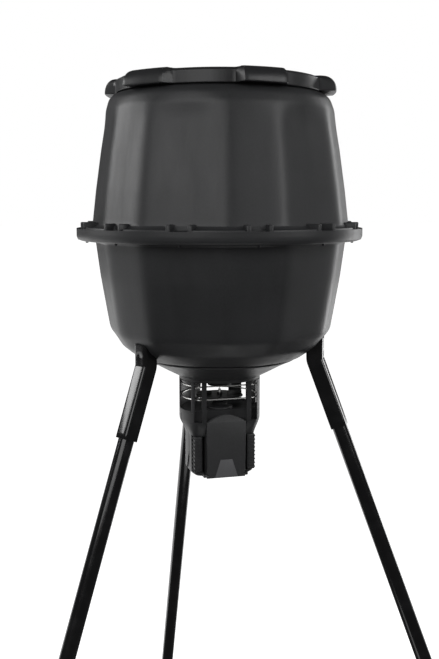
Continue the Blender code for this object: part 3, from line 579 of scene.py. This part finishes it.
lidCorners = rounded(lid["outer"], 0.0015)
lidPath = []
for before, after in zip(lidCorners, lidCorners[1:]):
    longest = 0.0015 if min(before.x, after.x) > lid["skirtRadius"][0] else 0.02
    lidPath += splitLong([before, after], longest)[:-1]
lidPath.append(after)
lobeLift = lid["lobeTop"] - lid["skirtTop"]
skirtHeight = lid["skirtTop"] - lid["skirtFoot"]
lidShape = turned(lidPath, lid["steps"], False)
for point in lidShape.verts:
    radius = math.hypot(point.co.x, point.co.y)
    azimuth = math.degrees(math.atan2(point.co.x, -point.co.y))
    share, reach = lobeShare(azimuth)
    weight = smoothStep(*lid["skirtRadius"], radius)
    if point.co.z > lid["crownFoot"] and radius > lid["crownRadius"][0]:
        point.co.z += share * smoothStep(*lid["crownRadius"], radius) * (lid["lobeTop"] - point.co.z)
    elif weight:
        point.co.z += share * weight * lobeLift * (point.co.z - lid["skirtFoot"]) / skirtHeight
    if weight:
        rise = (point.co.z - lid["skirtFoot"]) / (skirtHeight + share * lobeLift)
        rise = min(max(rise, 0.0), 1.0)
        bulge = (1 - rise ** lid["squareness"]) ** (1 / lid["squareness"])
        factor = 1 + weight * bulge * share * reach * lid["lobeReach"] / radius
        point.co.x *= factor
        point.co.y *= factor
bmesh.ops.recalc_face_normals(lidShape, faces=lidShape.faces)
makePiece("lidCap", lidShape, lidPlastic, "lid", ["lid"], 40)

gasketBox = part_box("lid_gasket")
gasket = {"inner": 0.2134, "outer": 0.2200, "height": 0.0031, "edge": 0.0008}
gasketBase = gasketBox[0].z - axisPoint.z
gasketTop = gasketBase + gasket["height"]
gasketPath = rounded((
    (gasket["inner"], gasketBase, 0), (gasket["outer"], gasketBase, gasket["edge"]),
    (gasket["outer"], gasketTop, gasket["edge"]), (gasket["inner"], gasketTop, gasket["edge"]),
    (gasket["inner"], gasketBase, 0),
))
makePiece("lidSeal", turned(gasketPath[:-1], 144), sealRubber, "lid_seal", ["lid_gasket"])
print("lid built")

# Outlet funnel
funnel = {
    "wall": 0.003,
    "neck": ((0.1590, -0.2595, 0), (0.1640, -0.2595, 0), (0.1640, -0.2690, 0), (0.1590, -0.2690, 0)),
    "profile": (
        (0.1728, -0.2668, 0), (0.1722, -0.2690, 0.001), (0.1700, -0.2697, 0.001), (0.1465, -0.2805, 0.05),
        (0.1200, -0.2950, 0.05), (0.0930, -0.3088, 0.003), (0.0300, -0.3133, 0.002), (0.0246, -0.3165, 0.001),
        (0.0246, -0.3370, 0),
    ),
}
funnelPath = splitLong(rounded(funnel["profile"], 0.0015), 0.02)
dish = turned(walled(funnelPath, -funnel["wall"]), 192)
addShape(dish, turned(rounded(funnel["neck"], 0.0015), 192))
makePiece("outletFunnel", dish, hopperPlastic, standBody, ["outlet_funnel"], 40)
print("funnel built")

# Stand
stand = {
    "azimuths": {"left": -60, "right": 60, "rear": 180},
    "tilt": math.radians(20.85),
    "bend": (0.2215, -0.268),
    "bracketHalf": 0.018,
    "bracketWall": 0.002,
    "bracketEnd": -0.418,
    "bracketCorner": 0.0055,
    "bracketRise": 0.060,
    "bendRadius": 0.028,
    "bendReach": 0.012,
    "topOuter": -0.2190,
    "topInner": -0.2515,
    "dimple": {"rise": 0.022, "radius": 0.009, "flat": 0.003, "depth": 0.0022},
    "legRadius": 0.0157,
    "legWall": 0.0015,
    "legTop": -0.285,
    "legSplit": -1.33,
    "footPlate": 0.006,
}


def legPoint(height):
    return Vector((stand["bend"][0] + math.tan(stand["tilt"]) * (stand["bend"][1] - height), 0, height))


def roundedSquare(half, corner, perCorner=5, perSide=6):
    points = []
    for quarter in range(4):
        turn = Matrix.Rotation(quarter * math.pi / 2, 2)
        for step in range(perCorner + 1):
            angle = math.pi / 2 * step / perCorner
            arc = Vector((math.cos(angle), math.sin(angle))) * corner
            points.append(turn @ (Vector((half - corner, half - corner)) + arc))
        for step in range(1, perSide):
            share = step / perSide
            points.append(turn @ Vector(((half - corner) * (1 - 2 * share), half)))
    return points


def bracketShape():
    # A square channel swept down from the hopper, through the bend and along the leg.
    half, wall = stand["bracketHalf"], stand["bracketWall"]
    section = roundedSquare(half, stand["bracketCorner"])
    bend = Vector((stand["bend"][0], 0, stand["bend"][1]))
    along = Vector((math.sin(stand["tilt"]), 0, -math.cos(stand["tilt"])))
    stations = [(bend + Vector((0, 0, stand["bracketRise"] - 0.004 * step)), 0.0) for step in range(11)]
    bendRadius = stand["bendRadius"]
    centre = bend + Vector((bendRadius, 0, bendRadius * math.tan(stand["tilt"] / 2)))
    for step in range(9):
        angle = stand["tilt"] * step / 8
        spot = centre + Vector((-bendRadius * math.cos(angle), 0, -bendRadius * math.sin(angle)))
        stations.append((spot, angle))
    start = stand["bendReach"]
    length = (stand["bend"][1] - stand["bracketEnd"]) / math.cos(stand["tilt"])
    for step in range(1, 13):
        stations.append((bend + along * (start + (length - start) * step / 12), stand["tilt"]))
    shape = bmesh.new()
    points = [shape.verts.new((0, 0, 0)) for _ in section]
    edges = [shape.edges.new(pair) for pair in zip(points, points[1:] + points[:1])]
    for number, (spot, angle) in enumerate(stations):
        if number:
            grown = bmesh.ops.extrude_edge_only(shape, edges=edges)["geom"]
            fresh = {item for item in grown if isinstance(item, bmesh.types.BMVert)}
            beyond = [{edge.other_vert(point) for edge in point.link_edges} & fresh for point in points]
            points = [found.pop() for found in beyond]
            edges = [item for item in grown
                     if isinstance(item, bmesh.types.BMEdge) and fresh.issuperset(item.verts)]
        turn = Matrix.Rotation(-angle, 4, "Y")
        for point, (across, aside) in zip(points, section):
            crown = 0.0012 * (1 - (aside / half) ** 2) if across > half * 0.9 else 0.0
            point.co = spot + turn @ Vector((across + crown, aside, 0))
    slope = Vector((2 * half, 0, stand["topOuter"] - stand["topInner"]))
    corner = Vector((stand["bend"][0] - half, 0, stand["topInner"]))
    normal = Vector((-slope.z, 0, slope.x)).normalized()
    bmesh.ops.bisect_plane(
        shape, geom=shape.verts[:] + shape.edges[:] + shape.faces[:], plane_co=corner, plane_no=normal,
        clear_outer=True,
    )
    dimple = stand["dimple"]
    for point in shape.verts:
        # A pressed dimple, high on the channel's outer web.
        away = math.hypot(point.co.y, point.co.z - (stand["bend"][1] + dimple["rise"]))
        if point.co.x > stand["bend"][0] + half * 0.9 and away < dimple["radius"]:
            point.co.x -= dimple["depth"] * (1 - smoothStep(dimple["flat"], dimple["radius"], away))
    bmesh.ops.recalc_face_normals(shape, faces=shape.faces)
    return shape


def softenEdges(piece, width, angle):
    edge = piece.modifiers.new("edge", "BEVEL")
    edge.width = width
    edge.segments = 2
    edge.limit_method = "ANGLE"
    edge.angle_limit = math.radians(angle)


def addWall(piece, thickness, bevelWidth):
    wall = piece.modifiers.new("wall", "SOLIDIFY")
    wall.thickness = thickness
    wall.offset = -1
    wall.use_even_offset = True
    softenEdges(piece, bevelWidth, 50)


def tiltedAlongLeg(height):
    return Matrix.Translation(legPoint(height)) @ Matrix.Rotation(-stand["tilt"], 4, "Y")


def legShapes():
    # The upper tube with a rolled lower end, and the lower tube with its necked top.
    radius = stand["legRadius"]
    stretch = 1 / math.cos(stand["tilt"])
    length = (stand["legTop"] - stand["legSplit"]) * stretch
    upper = rounded(((radius, 0, 0), (radius, -length + 0.004, 0.004), (radius - 0.0004, -length, 0)))
    wall = stand["legWall"]
    upperTube = turned(walled(splitLong(upper, 0.08), -wall), 48)
    plateTop = groundLevel + stand["footPlate"]
    legEnd = plateTop + radius * math.sin(stand["tilt"]) + 0.0003
    lowerLength = (stand["legSplit"] - legEnd) * stretch
    neck = radius - wall - 0.0004
    lower = rounded((
        (neck - 0.0006, 0.0695, 0), (neck, 0.0670, 0.003), (neck, -0.0008, 0.002), (radius, -0.0045, 0.002),
        (radius, -lowerLength, 0),
    ))
    lowerTube = turned(walled(splitLong(lower, 0.08), -wall), 48)
    return upperTube, lowerTube


def footShape():
    # A moulded foot: a round pad, level with the ground, and a ribbed boot up the leg.
    shape = turned(rounded((
        (0.0, groundLevel, 0), (0.0230, groundLevel, 0.001), (0.0235, groundLevel + 0.0022, 0.001),
        (0.0231, groundLevel + 0.0060, 0.0015), (0.0150, groundLevel + 0.0095, 0.002),
        (0.0, groundLevel + 0.0095, 0),
    )), 48, False)
    bmesh.ops.translate(shape, vec=(legPoint(groundLevel + 0.003).x, 0, 0), verts=shape.verts)
    boot = turned(rounded((
        (0.0, -0.001, 0), (0.0192, -0.001, 0.002), (0.0194, 0.012, 0.001), (0.0184, 0.014, 0.001),
        (0.0184, 0.020, 0.001), (0.0194, 0.022, 0.001), (0.0194, 0.030, 0.001), (0.0184, 0.032, 0.001),
        (0.0184, 0.040, 0.001), (0.0194, 0.042, 0.001), (0.0190, 0.0490, 0.0012), (0.0160, 0.0492, 0.0006),
        (0.0160, 0.0040, 0.001), (0.0, 0.0040, 0),
    )), 48, False)
    bmesh.ops.transform(boot, matrix=tiltedAlongLeg(groundLevel + 0.009), verts=boot.verts)
    addShape(shape, boot)
    return shape


for side, azimuth in stand["azimuths"].items():
    bracket = makePiece(f"legBracket{side.title()}", bracketShape(), blackPaint, standBody,
                        [f"leg_bracket_{side}"], 40, outward(azimuth))
    addWall(bracket, stand["bracketWall"], 0.0005)
    for level, height, tube in zip(("upper", "lower"), (stand["legTop"], stand["legSplit"]), legShapes()):
        makePiece(f"leg{level.title()}{side.title()}", tube, blackPaint, standBody, [f"leg_{level}_{side}"],
                  40, outward(azimuth) @ tiltedAlongLeg(height))
    makePiece(f"foot{side.title()}", footShape(), footRubber, standBody, [f"foot_{side}"], 40,
              outward(azimuth))
    rise = (stand["topOuter"] - stand["topInner"]) / (2 * stand["bracketHalf"])
    seat = Matrix.Translation((stand["bend"][0], 0, (stand["topOuter"] + stand["topInner"]) / 2))
    seat = outward(azimuth) @ seat @ Matrix.Rotation(-math.atan(rise), 4, "Y")
    bolt = turned(rounded((
        (0.0, 0.0114, 0), (0.0055, 0.0106, 0.004), (0.0084, 0.0075, 0.001), (0.0080, 0.0069, 0.0004),
        (0.0040, 0.0068, 0), (0.0040, -0.0100, 0.0008), (0.0, -0.0100, 0),
    )), 32, False)
    addRod(bolt, 0.0070, 0.0048, Matrix.Translation((0, 0, -0.0054)), 6, 0.0005)
    makePiece(f"bracketBolt{side.title()}", bolt, boltZinc, standBody, [f"leg_bracket_bolt_{side}"],
              30, seat)
print("stand built")

# Spinner unit
unit = {
    "cageRadius": 0.093,
    "cageFront": 0.064,
    "cageWall": 0.003,
    "cageTop": -0.3188,
    "deck": -0.3905,
    "notch": -0.4110,
    "shoulder": -0.408,
    "waist": -0.452,
    "foot": -0.530,
    "bottom": -0.541,
    "half": 0.075,
    "front": 0.0508,
    "back": 0.055,
    "doorHalf": 0.0463,
    "wall": 0.003,
    "squareness": 5,
    "pinch": 0.010,
}


def cagePlan(azimuth, radius, front):
    ahead = math.cos(azimuth)
    return min(radius, front / ahead) if ahead > 0.1 else radius


def boxPlan(azimuth, inset, boxy):
    ahead, aside = math.cos(azimuth), abs(math.sin(azimuth))
    depth = (unit["front"] if ahead > 0 else unit["back"]) - inset
    power = unit["squareness"]
    square = ((abs(ahead) / depth) ** power + (aside / (unit["half"] - inset)) ** power) ** (-1 / power)
    plan = cagePlan(azimuth, unit["cageRadius"] - inset, unit["cageFront"] - inset)
    return boxy * square + (1 - boxy) * plan


def planned(shape, plan):
    # Moves a turned shape's points in or out: plan(azimuth, radius, height) gives the new radius.
    for point in shape.verts:
        radius = math.hypot(point.co.x, point.co.y)
        if radius > 1e-6:
            new = plan(math.atan2(point.co.x, -point.co.y), radius, point.co.z)
            point.co.x *= new / radius
            point.co.y *= new / radius
    return shape


capPath = rounded((
    (0.0930, -0.3100, 0.0008), (0.0930, -0.3182, 0.0008), (0.0340, -0.3184, 0), (0.0340, -0.3159, 0),
    (0.0880, -0.3159, 0.0006), (0.0880, -0.3099, 0.0006), (0.0930, -0.3099, 0),
))
makePiece("cageCap", turned(capPath[:-1], 144), boxPlastic, standBody, ["cage_cap"], 40)

windows = {
    "top": -0.3200,
    "bottom": -0.3865,
    "between": (-0.345, -0.366),
    "spans": ((0, 35.5), (47, 4.8), (-47, 4.8), (88, 10), (-76, 17), (180, 28), (126, 5)),
    "openBelow": 52,
    "frontSpan": 56,
}


def inWindow(azimuth):
    return any(abs((azimuth - middle + 180) % 360 - 180) < half for middle, half in windows["spans"])


# Between the cage and the deck it stands on
seatGap = 0.0003
cageLevels = (unit["cageTop"], windows["top"], *windows["between"], windows["bottom"],
              unit["deck"] + seatGap, unit["notch"] + seatGap)
cage = turned([Vector((unit["cageRadius"], height)) for height in cageLevels], 240, False)
gone = []
for face in cage.faces:
    middle = face.calc_center_median()
    azimuth = math.degrees(math.atan2(middle.x, -middle.y))
    lowest = -1 if abs(azimuth) < windows["openBelow"] else windows["bottom"]
    beside = middle.z < unit["deck"] and abs(azimuth) > windows["frontSpan"]
    if beside or (lowest < middle.z < windows["top"] and inWindow(azimuth)):
        gone.append(face)
bmesh.ops.delete(cage, geom=gone, context="FACES")
cage = planned(cage, lambda azimuth, radius, height: cagePlan(azimuth, radius, unit["cageFront"]))
cagePiece = makePiece("spinnerCage", cage, boxPlastic, standBody, ["spinner_cage"], 40)
addWall(cagePiece, unit["cageWall"], 0.0007)

guardWire = {"radius": 0.0016, "gap": 0.0012, "levels": (-0.330, -0.360), "sides": 10}
wireInset = unit["cageWall"] + guardWire["radius"] + guardWire["gap"]
wireReach = unit["cageRadius"] - wireInset


def wirePlan(azimuth, radius, height):
    return cagePlan(azimuth, wireReach, unit["cageFront"] - wireInset) + radius - wireReach


for number, level in enumerate(guardWire["levels"]):
    ring = []
    for step in range(guardWire["sides"]):
        angle = step * math.tau / guardWire["sides"]
        arc = Vector((math.cos(angle), math.sin(angle))) * guardWire["radius"]
        ring.append(Vector((wireReach, level)) + arc)
    makePiece(f"guardWire{number + 1}", planned(turned(ring, 144), wirePlan), wireSteel, standBody,
              [f"guard_wire_{number + 1}"], 60)

# Spinner plate with four folded fins
spinner = {
    "level": -0.3615,
    "radius": 0.054,
    "sheet": 0.0015,
    "fin": 0.010,
    "finInner": 0.018,
    "finFirst": 75,
    # Piece, node, finish, radius, length, middle and sides.
    "rods": (
        ("spinnerNut", "spinner_nut", boltZinc, 0.0066, 0.0056, -0.3583, 6),
        ("motorShaft", "motor_shaft", wireSteel, 0.0030, 0.0608, -0.3775, 24),
    ),
}
plate = turned(rounded((
    (0.0035, -0.3615, 0), (0.0150, -0.3615, 0.001), (0.0170, -0.3611, 0.001), (0.0536, -0.3611, 0.0003),
    (0.0540, -0.3622, 0.0004), (0.0536, -0.3630, 0.0003), (0.0035, -0.3630, 0),
)), 96)
for quarter in range(4):
    low = (spinner["finInner"], -spinner["sheet"] / 2, spinner["level"] - 0.0008)
    high = (spinner["radius"] - 0.003, spinner["sheet"] / 2, spinner["level"] + spinner["fin"])
    addBox(plate, low, high, outward(quarter * 90 + spinner["finFirst"]), 0.0006, 2)
makePiece("spinnerPlate", plate, spinnerPaint, "spinner", ["spinner_plate"], 30)
hub = turned(rounded((
    (0.0034, -0.3634, 0), (0.0118, -0.3634, 0.0008), (0.0160, -0.3705, 0.0008), (0.0034, -0.3708, 0),
)), 48)
makePiece("spinnerHub", hub, spinnerPaint, "spinner", ["spinner_hub"], 30)
for name, node, metal, radius, length, middle, sides in spinner["rods"]:
    rod = bmesh.new()
    addRod(rod, radius, length, Matrix.Translation((0, 0, middle)), sides, 0.0006)
    makePiece(name, rod, metal, "spinner", [node], 30)
print("spinner built")


def housingShape(inset):
    # The control box's skin: the cage's plan at its deck, easing to a rounded box below.
    top = unit["deck"] - inset
    levels = [top, unit["shoulder"]]
    levels += [unit["shoulder"] + (unit["waist"] - unit["shoulder"]) * step / 10 for step in range(1, 11)]
    levels += [unit["foot"], unit["foot"] - 0.006, unit["bottom"] + inset]
    path = [Vector((0, top))] + [Vector((0.05, level)) for level in levels] + [Vector((0, levels[-1]))]
    shape = turned(path, 96, False)

    def plan(azimuth, radius, height):
        boxy = 1 - smoothStep(unit["waist"], unit["shoulder"], height)
        low = max(0.0, (unit["foot"] - height) / (unit["foot"] - unit["bottom"]))
        return boxPlan(azimuth, inset + unit["pinch"] * low ** 1.6, boxy)

    return planned(shape, plan)


alongX = Matrix.Rotation(math.pi / 2, 4, "Y")


def prism(outline, front, back):
    # A solid from an outline in the XZ plane, from one depth to another.
    shape = bmesh.new()
    face = shape.faces.new([shape.verts.new((across, front, height)) for across, height in outline])
    grown = bmesh.ops.extrude_face_region(shape, geom=[face])["geom"]
    moved = [item for item in grown if isinstance(item, bmesh.types.BMVert)]
    bmesh.ops.translate(shape, vec=(0, back - front, 0), verts=moved)
    bmesh.ops.recalc_face_normals(shape, faces=shape.faces)
    return shape


def block(*boxes):
    shape = bmesh.new()
    for low, high in boxes:
        addBox(shape, low, high)
    return shape


def midBlock(half, low, high):
    # A block as wide on either side, from one (depth, height) corner to the other.
    return block(((-half, *low), (half, *high)))


def twinBlock(near, far, low, high):
    # Two blocks, one on either side.
    return block(((-far, *low), (-near, *high)), ((near, *low), (far, *high)))


wall = unit["wall"]
cuts = {
    "door": unit["doorHalf"] + 0.001,
    "pocket": {"near": unit["doorHalf"] + 0.0005, "back": -0.0293, "foot": -0.5305, "top": -0.4455},
    "notch": {"half": 0.0745, "back": -0.034},
    "opening": {"half": 0.041, "back": -0.0448, "foot": -0.527, "top": -0.420},
    "above": -0.3800,
    "aboveInside": -0.3895,
    "beyond": 0.12,
}
# The same cuts are made in the skin and, a wall further in, in the solid that hollows it.
skins = []
for inset in (0, wall):
    skin = housingShape(inset)
    above = cuts["above"] if inset == 0 else cuts["aboveInside"]
    high = (-unit["front"] + inset, above)
    skin = carve(skin, midBlock(cuts["door"] + inset, (-cuts["beyond"], -0.57), high))
    pocket = cuts["pocket"]
    low = (-cuts["beyond"], pocket["foot"] - inset)
    high = (pocket["back"] + inset, pocket["top"] + inset)
    skin = carve(skin, twinBlock(pocket["near"] - inset, cuts["beyond"], low, high))
    low = (-cuts["beyond"], unit["notch"] - inset)
    skin = carve(skin, midBlock(cuts["notch"]["half"] + inset, low, (cuts["notch"]["back"] + inset, above)))
    skins.append(skin)
housing = carve(*skins)
opening = cuts["opening"]
low, high = (-0.08, opening["foot"]), (opening["back"], opening["top"])
housing = carve(housing, midBlock(opening["half"], low, high))
# A groove down each side that opens into a long V at the foot, and a shallow groove across the back.
sideCuts = bmesh.new()
for side in (-1, 1):
    turn = Matrix.Rotation(side * math.pi / 2, 4, "Z")
    for outline in (
        ((-0.0115, -0.4860), (-0.0080, -0.4860), (-0.0085, -0.3960), (-0.0110, -0.3960)),
        ((-0.0200, -0.5345), (0.0150, -0.5345), (-0.0080, -0.4868), (-0.0115, -0.4868)),
    ):
        sideways = [(spot * side, height) for spot, height in outline]
        groove = prism(sideways, -0.10, -0.0728)
        bmesh.ops.transform(groove, matrix=turn, verts=groove.verts)
        addShape(sideCuts, groove)
housing = carve(housing, sideCuts)
housing = carve(housing, midBlock(0.045, (0.0538, -0.486), (0.07, -0.482)))
collar = {
    "bore": 0.006,
    "profile": (
        (0.0060, -0.0020, 0), (0.0300, -0.0020, 0), (0.0300, 0.0040, 0.003), (0.0190, 0.0080, 0.006),
        (0.0140, 0.0165, 0.003), (0.0060, 0.0165, 0),
    ),
}
hole = bmesh.new()
addRod(hole, collar["bore"], 0.02, Matrix.Translation((0, 0, unit["deck"])), 32)
housing = carve(housing, hole)
collarPath = [(radius, unit["deck"] + height, fillet) for radius, height, fillet in collar["profile"]]
housing = carve(housing, turned(rounded(collarPath), 96), "UNION")
ears = {"near": 0.0468, "far": 0.0515, "radius": 0.0036, "pin": (-0.056, -0.5365), "back": -0.038,
        "half": 0.004}
for side in (-1, 1):
    ear = bmesh.new()
    depth, height = ears["pin"]
    middle = side * (ears["near"] + ears["far"]) / 2
    spot = Matrix.Translation((middle, depth, height)) @ alongX
    addRod(ear, ears["radius"], ears["far"] - ears["near"], spot, 32, 0.0006)
    near, far = sorted((side * ears["near"], side * ears["far"]))
    addBox(ear, (near, depth, height - ears["half"]), (far, ears["back"], height + ears["half"]))
    housing = carve(housing, ear, "UNION")
housingPiece = makePiece("controlHousing", housing, boxPlastic, standBody, ["control_housing"],
                         35)
softenEdges(housingPiece, 0.0008, 40)
print("housing built")

# Door
door = {
    "half": 0.0463,
    "footHalf": 0.0448,
    "peak": -0.3965,
    "shoulder": -0.4130,
    "foot": -0.5418,
    "chamfer": (0.0355, 0.0115),
    "slant": 0.20,
    "face": -0.0615,
    "back": -0.0512,
    "wall": 0.0025,
    "hinge": (-0.056, -0.5385),
    "knuckle": 0.0045,
}


def doorOutline(inset):
    half, foot = door["half"] - inset, door["footHalf"] - inset
    cut, rise = door["chamfer"]
    points = [(-cut, door["foot"] + inset), (-foot, door["foot"] + rise)]
    for step in range(25):
        share = -1 + step / 12
        crown = (door["peak"] - door["shoulder"]) * math.cos(share * math.pi / 2)
        points.append((half * share, door["shoulder"] - inset + crown))
    return points + [(foot, door["foot"] + rise), (cut, door["foot"] + inset)]


doorShape = prism(doorOutline(0), door["face"], door["back"])
everything = doorShape.verts[:] + doorShape.edges[:] + doorShape.faces[:]
bmesh.ops.bisect_plane(doorShape, geom=everything, plane_co=(0, 0, door["shoulder"]), plane_no=(0, 0, 1))
for point in doorShape.verts:
    if point.co.z > door["shoulder"] and point.co.y < door["face"] + 0.001:
        point.co.y += door["slant"] * (point.co.z - door["shoulder"])
bevelSharp(doorShape, 0.0014, 40, 3)
trayTop = door["shoulder"] - door["wall"]
trayOutline = [(across, min(height, trayTop)) for across, height in doorOutline(door["wall"])]
tray = prism(trayOutline, door["face"] + door["wall"], 0.0)
bmesh.ops.dissolve_limit(tray, angle_limit=0.01, verts=tray.verts, edges=tray.edges)
doorShape = carve(doorShape, tray)
knuckle = bmesh.new()
hingeLine = Matrix.Translation((0, *door["hinge"])) @ alongX
addRod(knuckle, door["knuckle"], 2 * (door["half"] - 0.0015), hingeLine, 40)
doorShape = carve(doorShape, knuckle, "UNION")
makePiece("frontDoor", doorShape, doorPlastic, "door", ["front_door"], 35)
panelOutline = ((-0.0268, -0.5402), (-0.0137, -0.4995), (0.0137, -0.4995), (0.0268, -0.5402))
panelShape = prism(panelOutline, door["face"] - 0.0006, door["face"] + 0.0012)
bevelSharp(panelShape, 0.0005, 30, 2)
makePiece("doorPanel", panelShape, panelPlastic, "door", (), 35)
pin = bmesh.new()
addRod(pin, 0.0014, 0.102, hingeLine, 16, 0.0003)
makePiece("doorPin", pin, boltZinc, standBody, ["door_pin"], 30)

# Latches: ribbed grips beside the door
latch = {
    "inner": 0.0525,
    "outer": 0.0725,
    "front": -0.0500,
    "back": -0.0300,
    "top": -0.447,
    "bottom": -0.529,
    "ribs": 20,
    "teeth": 9,
    "toothHalf": 0.0027,
}
for side, label in ((-1, "left"), (1, "right")):
    grip = bmesh.new()
    near, far = sorted((side * latch["inner"], side * (latch["outer"] - 0.0014)))
    low = (near, latch["front"] + 0.0012, latch["bottom"])
    addBox(grip, low, (far, latch["back"], latch["top"]), None, 0.0020, 3)
    pitch = (latch["top"] - latch["bottom"] - 0.006) / latch["ribs"]
    near, far = sorted((side * (latch["inner"] + 0.0025), side * (latch["outer"] - 0.0030)))
    for rib in range(latch["ribs"]):
        foot = latch["bottom"] + 0.003 + pitch * (rib + 0.2)
        high = (far, latch["front"] + 0.004, foot + pitch * 0.55)
        addBox(grip, (near, latch["front"], foot), high, None, 0.0005, 1)
    step = (latch["top"] - latch["bottom"]) / latch["teeth"]
    for tooth in range(latch["teeth"]):
        spot = (side * (latch["outer"] - 0.0028), 0, latch["bottom"] + step * (tooth + 0.5))
        turn = Matrix.Translation(spot) @ Matrix.Rotation(math.pi / 4, 4, "Y")
        half = latch["toothHalf"]
        low, high = (-half, latch["front"] + 0.0030, -half), (half, latch["back"] - 0.0020, half)
        addBox(grip, low, high, turn, 0.0004, 1)
    makePiece(f"latch{label.title()}", grip, doorPlastic, f"latch_{label}", [f"latch_{label}"],
              30)
print("door and latches built")

# Inside the box: motor, battery, timer
motor = {
    "boreFoot": -0.4095,
    "profile": (
        (0.0036, 0, 0), (0.0180, 0, 0.001), (0.0180, -0.012, 0.0006), (0.0176, -0.0125, 0.0004),
        (0.0176, -0.040, 0.0006), (0.0180, -0.0405, 0.0004), (0.0180, -0.048, 0.002), (0.0, -0.048, 0),
    ),
}
motorTop = unit["deck"] - wall - 0.0003
motorPath = rounded([(radius, motorTop + height, fillet) for radius, height, fillet in motor["profile"]])
bore = [Vector((0, motor["boreFoot"])), Vector((motor["profile"][0][0], motor["boreFoot"])), motorPath[0]]
makePiece("motorCan", turned(motorPath + bore, 48, False), spinnerPaint, standBody, ["motor"],
          30)
battery = bmesh.new()
addBox(battery, (-0.0530, -0.0080, -0.5370), (0.0530, 0.0400, -0.4690), None, 0.0025, 3)
addBox(battery, (-0.0480, 0.0020, -0.4692), (0.0480, 0.0300, -0.4672), None, 0.0006, 2)
makePiece("batteryCase", battery, batteryPlastic, standBody, ["battery"], 30)
keys = {"count": 4, "first": -0.027, "pitch": 0.018, "level": -0.482, "radius": 0.0044, "length": 0.0062,
        "middle": -0.0463, "holeRadius": 0.0048}
timer = carve(midBlock(0.0433, (-0.0464, -0.5290), (-0.0424, -0.4170)),
              midBlock(0.0240, (-0.06, -0.4600), (-0.0449, -0.4350)))
alongY = Matrix.Rotation(math.pi / 2, 4, "X")
for number in range(keys["count"]):
    across = keys["first"] + keys["pitch"] * number
    hole = bmesh.new()
    addRod(hole, keys["holeRadius"], 0.02, Matrix.Translation((across, -0.045, keys["level"])) @ alongY, 32)
    timer = carve(timer, hole)
    key = bmesh.new()
    spot = Matrix.Translation((across, keys["middle"], keys["level"]))
    addRod(key, keys["radius"], keys["length"], spot @ alongY, 32, 0.0008)
    node = f"timer_button_{number + 1}"
    makePiece(f"timerKey{number + 1}", key, keyPlastic, node, [node], 30)
makePiece("timerPanel", timer, panelPlastic, standBody, ["timer_panel"], 30)
glass = bmesh.new()
addBox(glass, (-0.0237, -0.0470, -0.4597), (0.0237, -0.0452, -0.4353), None, 0.0004, 2)
makePiece("displayGlass", glass, displayWindow, standBody, ["display"], 30)
print("inside built")

# Studio: a pale floor that brightens away from the feet, soft lights, and the camera
studio = {
    "floorColour": (0.80, 0.80, 0.80),
    "nearGlow": 0.62,
    "farGlow": 1.05,
    "nearRadius": 0.75,
    "farRadius": 1.15,
    "room": 0.06,
    "lights": (
        ("keyLight", (-1.9, -2.4, 1.15), (0, 0, 0), (2.8, 2.0), 36),
        ("frontLight", (2.2, -2.1, 1.0), (0, 0, 0), (1.0, 1.6), 19),
        ("frontFill", (1.5, -2.6, 1.0), (0, 0, 0), (2.2, 1.6), 10),
        ("rightRim", (2.6, 1.1, 0.1), (0, 0, -0.1), (1.0, 2.4), 27),
        ("leftRim", (-2.58, 1.09, 0.90), (0, 0, 0), (1.3, 1.3), 30),
        ("floorSheen", (0, 5.95, -1.6), (0, 5.95, 0), (14, 10), 520),
        ("underGlow", (0, -0.42, -1.6), (0, -0.42, 0), (1.3, 0.4), 1.6),
    ),
}
floorFinish = Finish("paleFloor", studio["floorColour"], 0.9)
floorFinish.setInput("Emission Color", (1, 1, 1, 1))
across = floorFinish.add("VectorMath", {"operation": "LENGTH"}, {0: floorFinish.place()}, "Value")
glow = floorFinish.spread(
    across, studio["nearGlow"], studio["farGlow"], studio["nearRadius"], studio["farRadius"],
)
floorFinish.setInput("Emission Strength", glow)
floorShape = bmesh.new()
bmesh.ops.create_grid(floorShape, x_segments=2, y_segments=2, size=60)
floorMesh = bpy.data.meshes.new("floor")
floorShape.to_mesh(floorMesh)
floorShape.free()
floorMesh.materials.append(floorFinish.material)
floor = bpy.data.objects.new("floor", floorMesh)
floor.location = (axisPoint.x, axisPoint.y, 0)
floor.visible_glossy = False
floor.visible_diffuse = False
link(floor)

world = bpy.data.worlds.new("studio")
bpy.context.scene.world = world
world.use_nodes = True
room = Shading(world.node_tree, "Background")
room.setInput("Color", (1, 1, 1, 1))
seen = room.add("LightPath", output="Is Camera Ray")
room.setInput("Strength", studio["room"] + seen * (1 - studio["room"]))

for name, spot, target, size, power in studio["lights"]:
    lightData = bpy.data.lights.new(name, "AREA")
    lightData.shape = "RECTANGLE"
    lightData.size, lightData.size_y = size
    lightData.energy = power
    lamp = bpy.data.objects.new(name, lightData)
    lamp.location = axisPoint + Vector(spot)
    lamp.rotation_euler = (Vector(target) - Vector(spot)).to_track_quat("-Z", "Y").to_euler()
    lamp.visible_camera = False
    link(lamp)

view = {
    "distance": 2.1325,
    "side": math.radians(15),
    "rise": 0.0836,
    "pitch": math.radians(7.83),
    "lens": 51.3,
}
cameraData = bpy.data.cameras.new("camera")
cameraData.sensor_fit = "VERTICAL"
cameraData.sensor_height = 36
cameraData.lens = view["lens"]
camera = bpy.data.objects.new("camera", cameraData)
spot = Vector((-math.sin(view["side"]), -math.cos(view["side"]), 0)) * view["distance"]
spot.z = view["rise"]
look = Vector((
    math.sin(view["side"]) * math.cos(view["pitch"]),
    math.cos(view["side"]) * math.cos(view["pitch"]),
    -math.sin(view["pitch"]),
))
camera.location = axisPoint + spot
camera.rotation_euler = look.to_track_quat("-Z", "Y").to_euler()
link(camera)
bpy.context.scene.camera = camera
bpy.context.scene.view_settings.view_transform = "Standard"
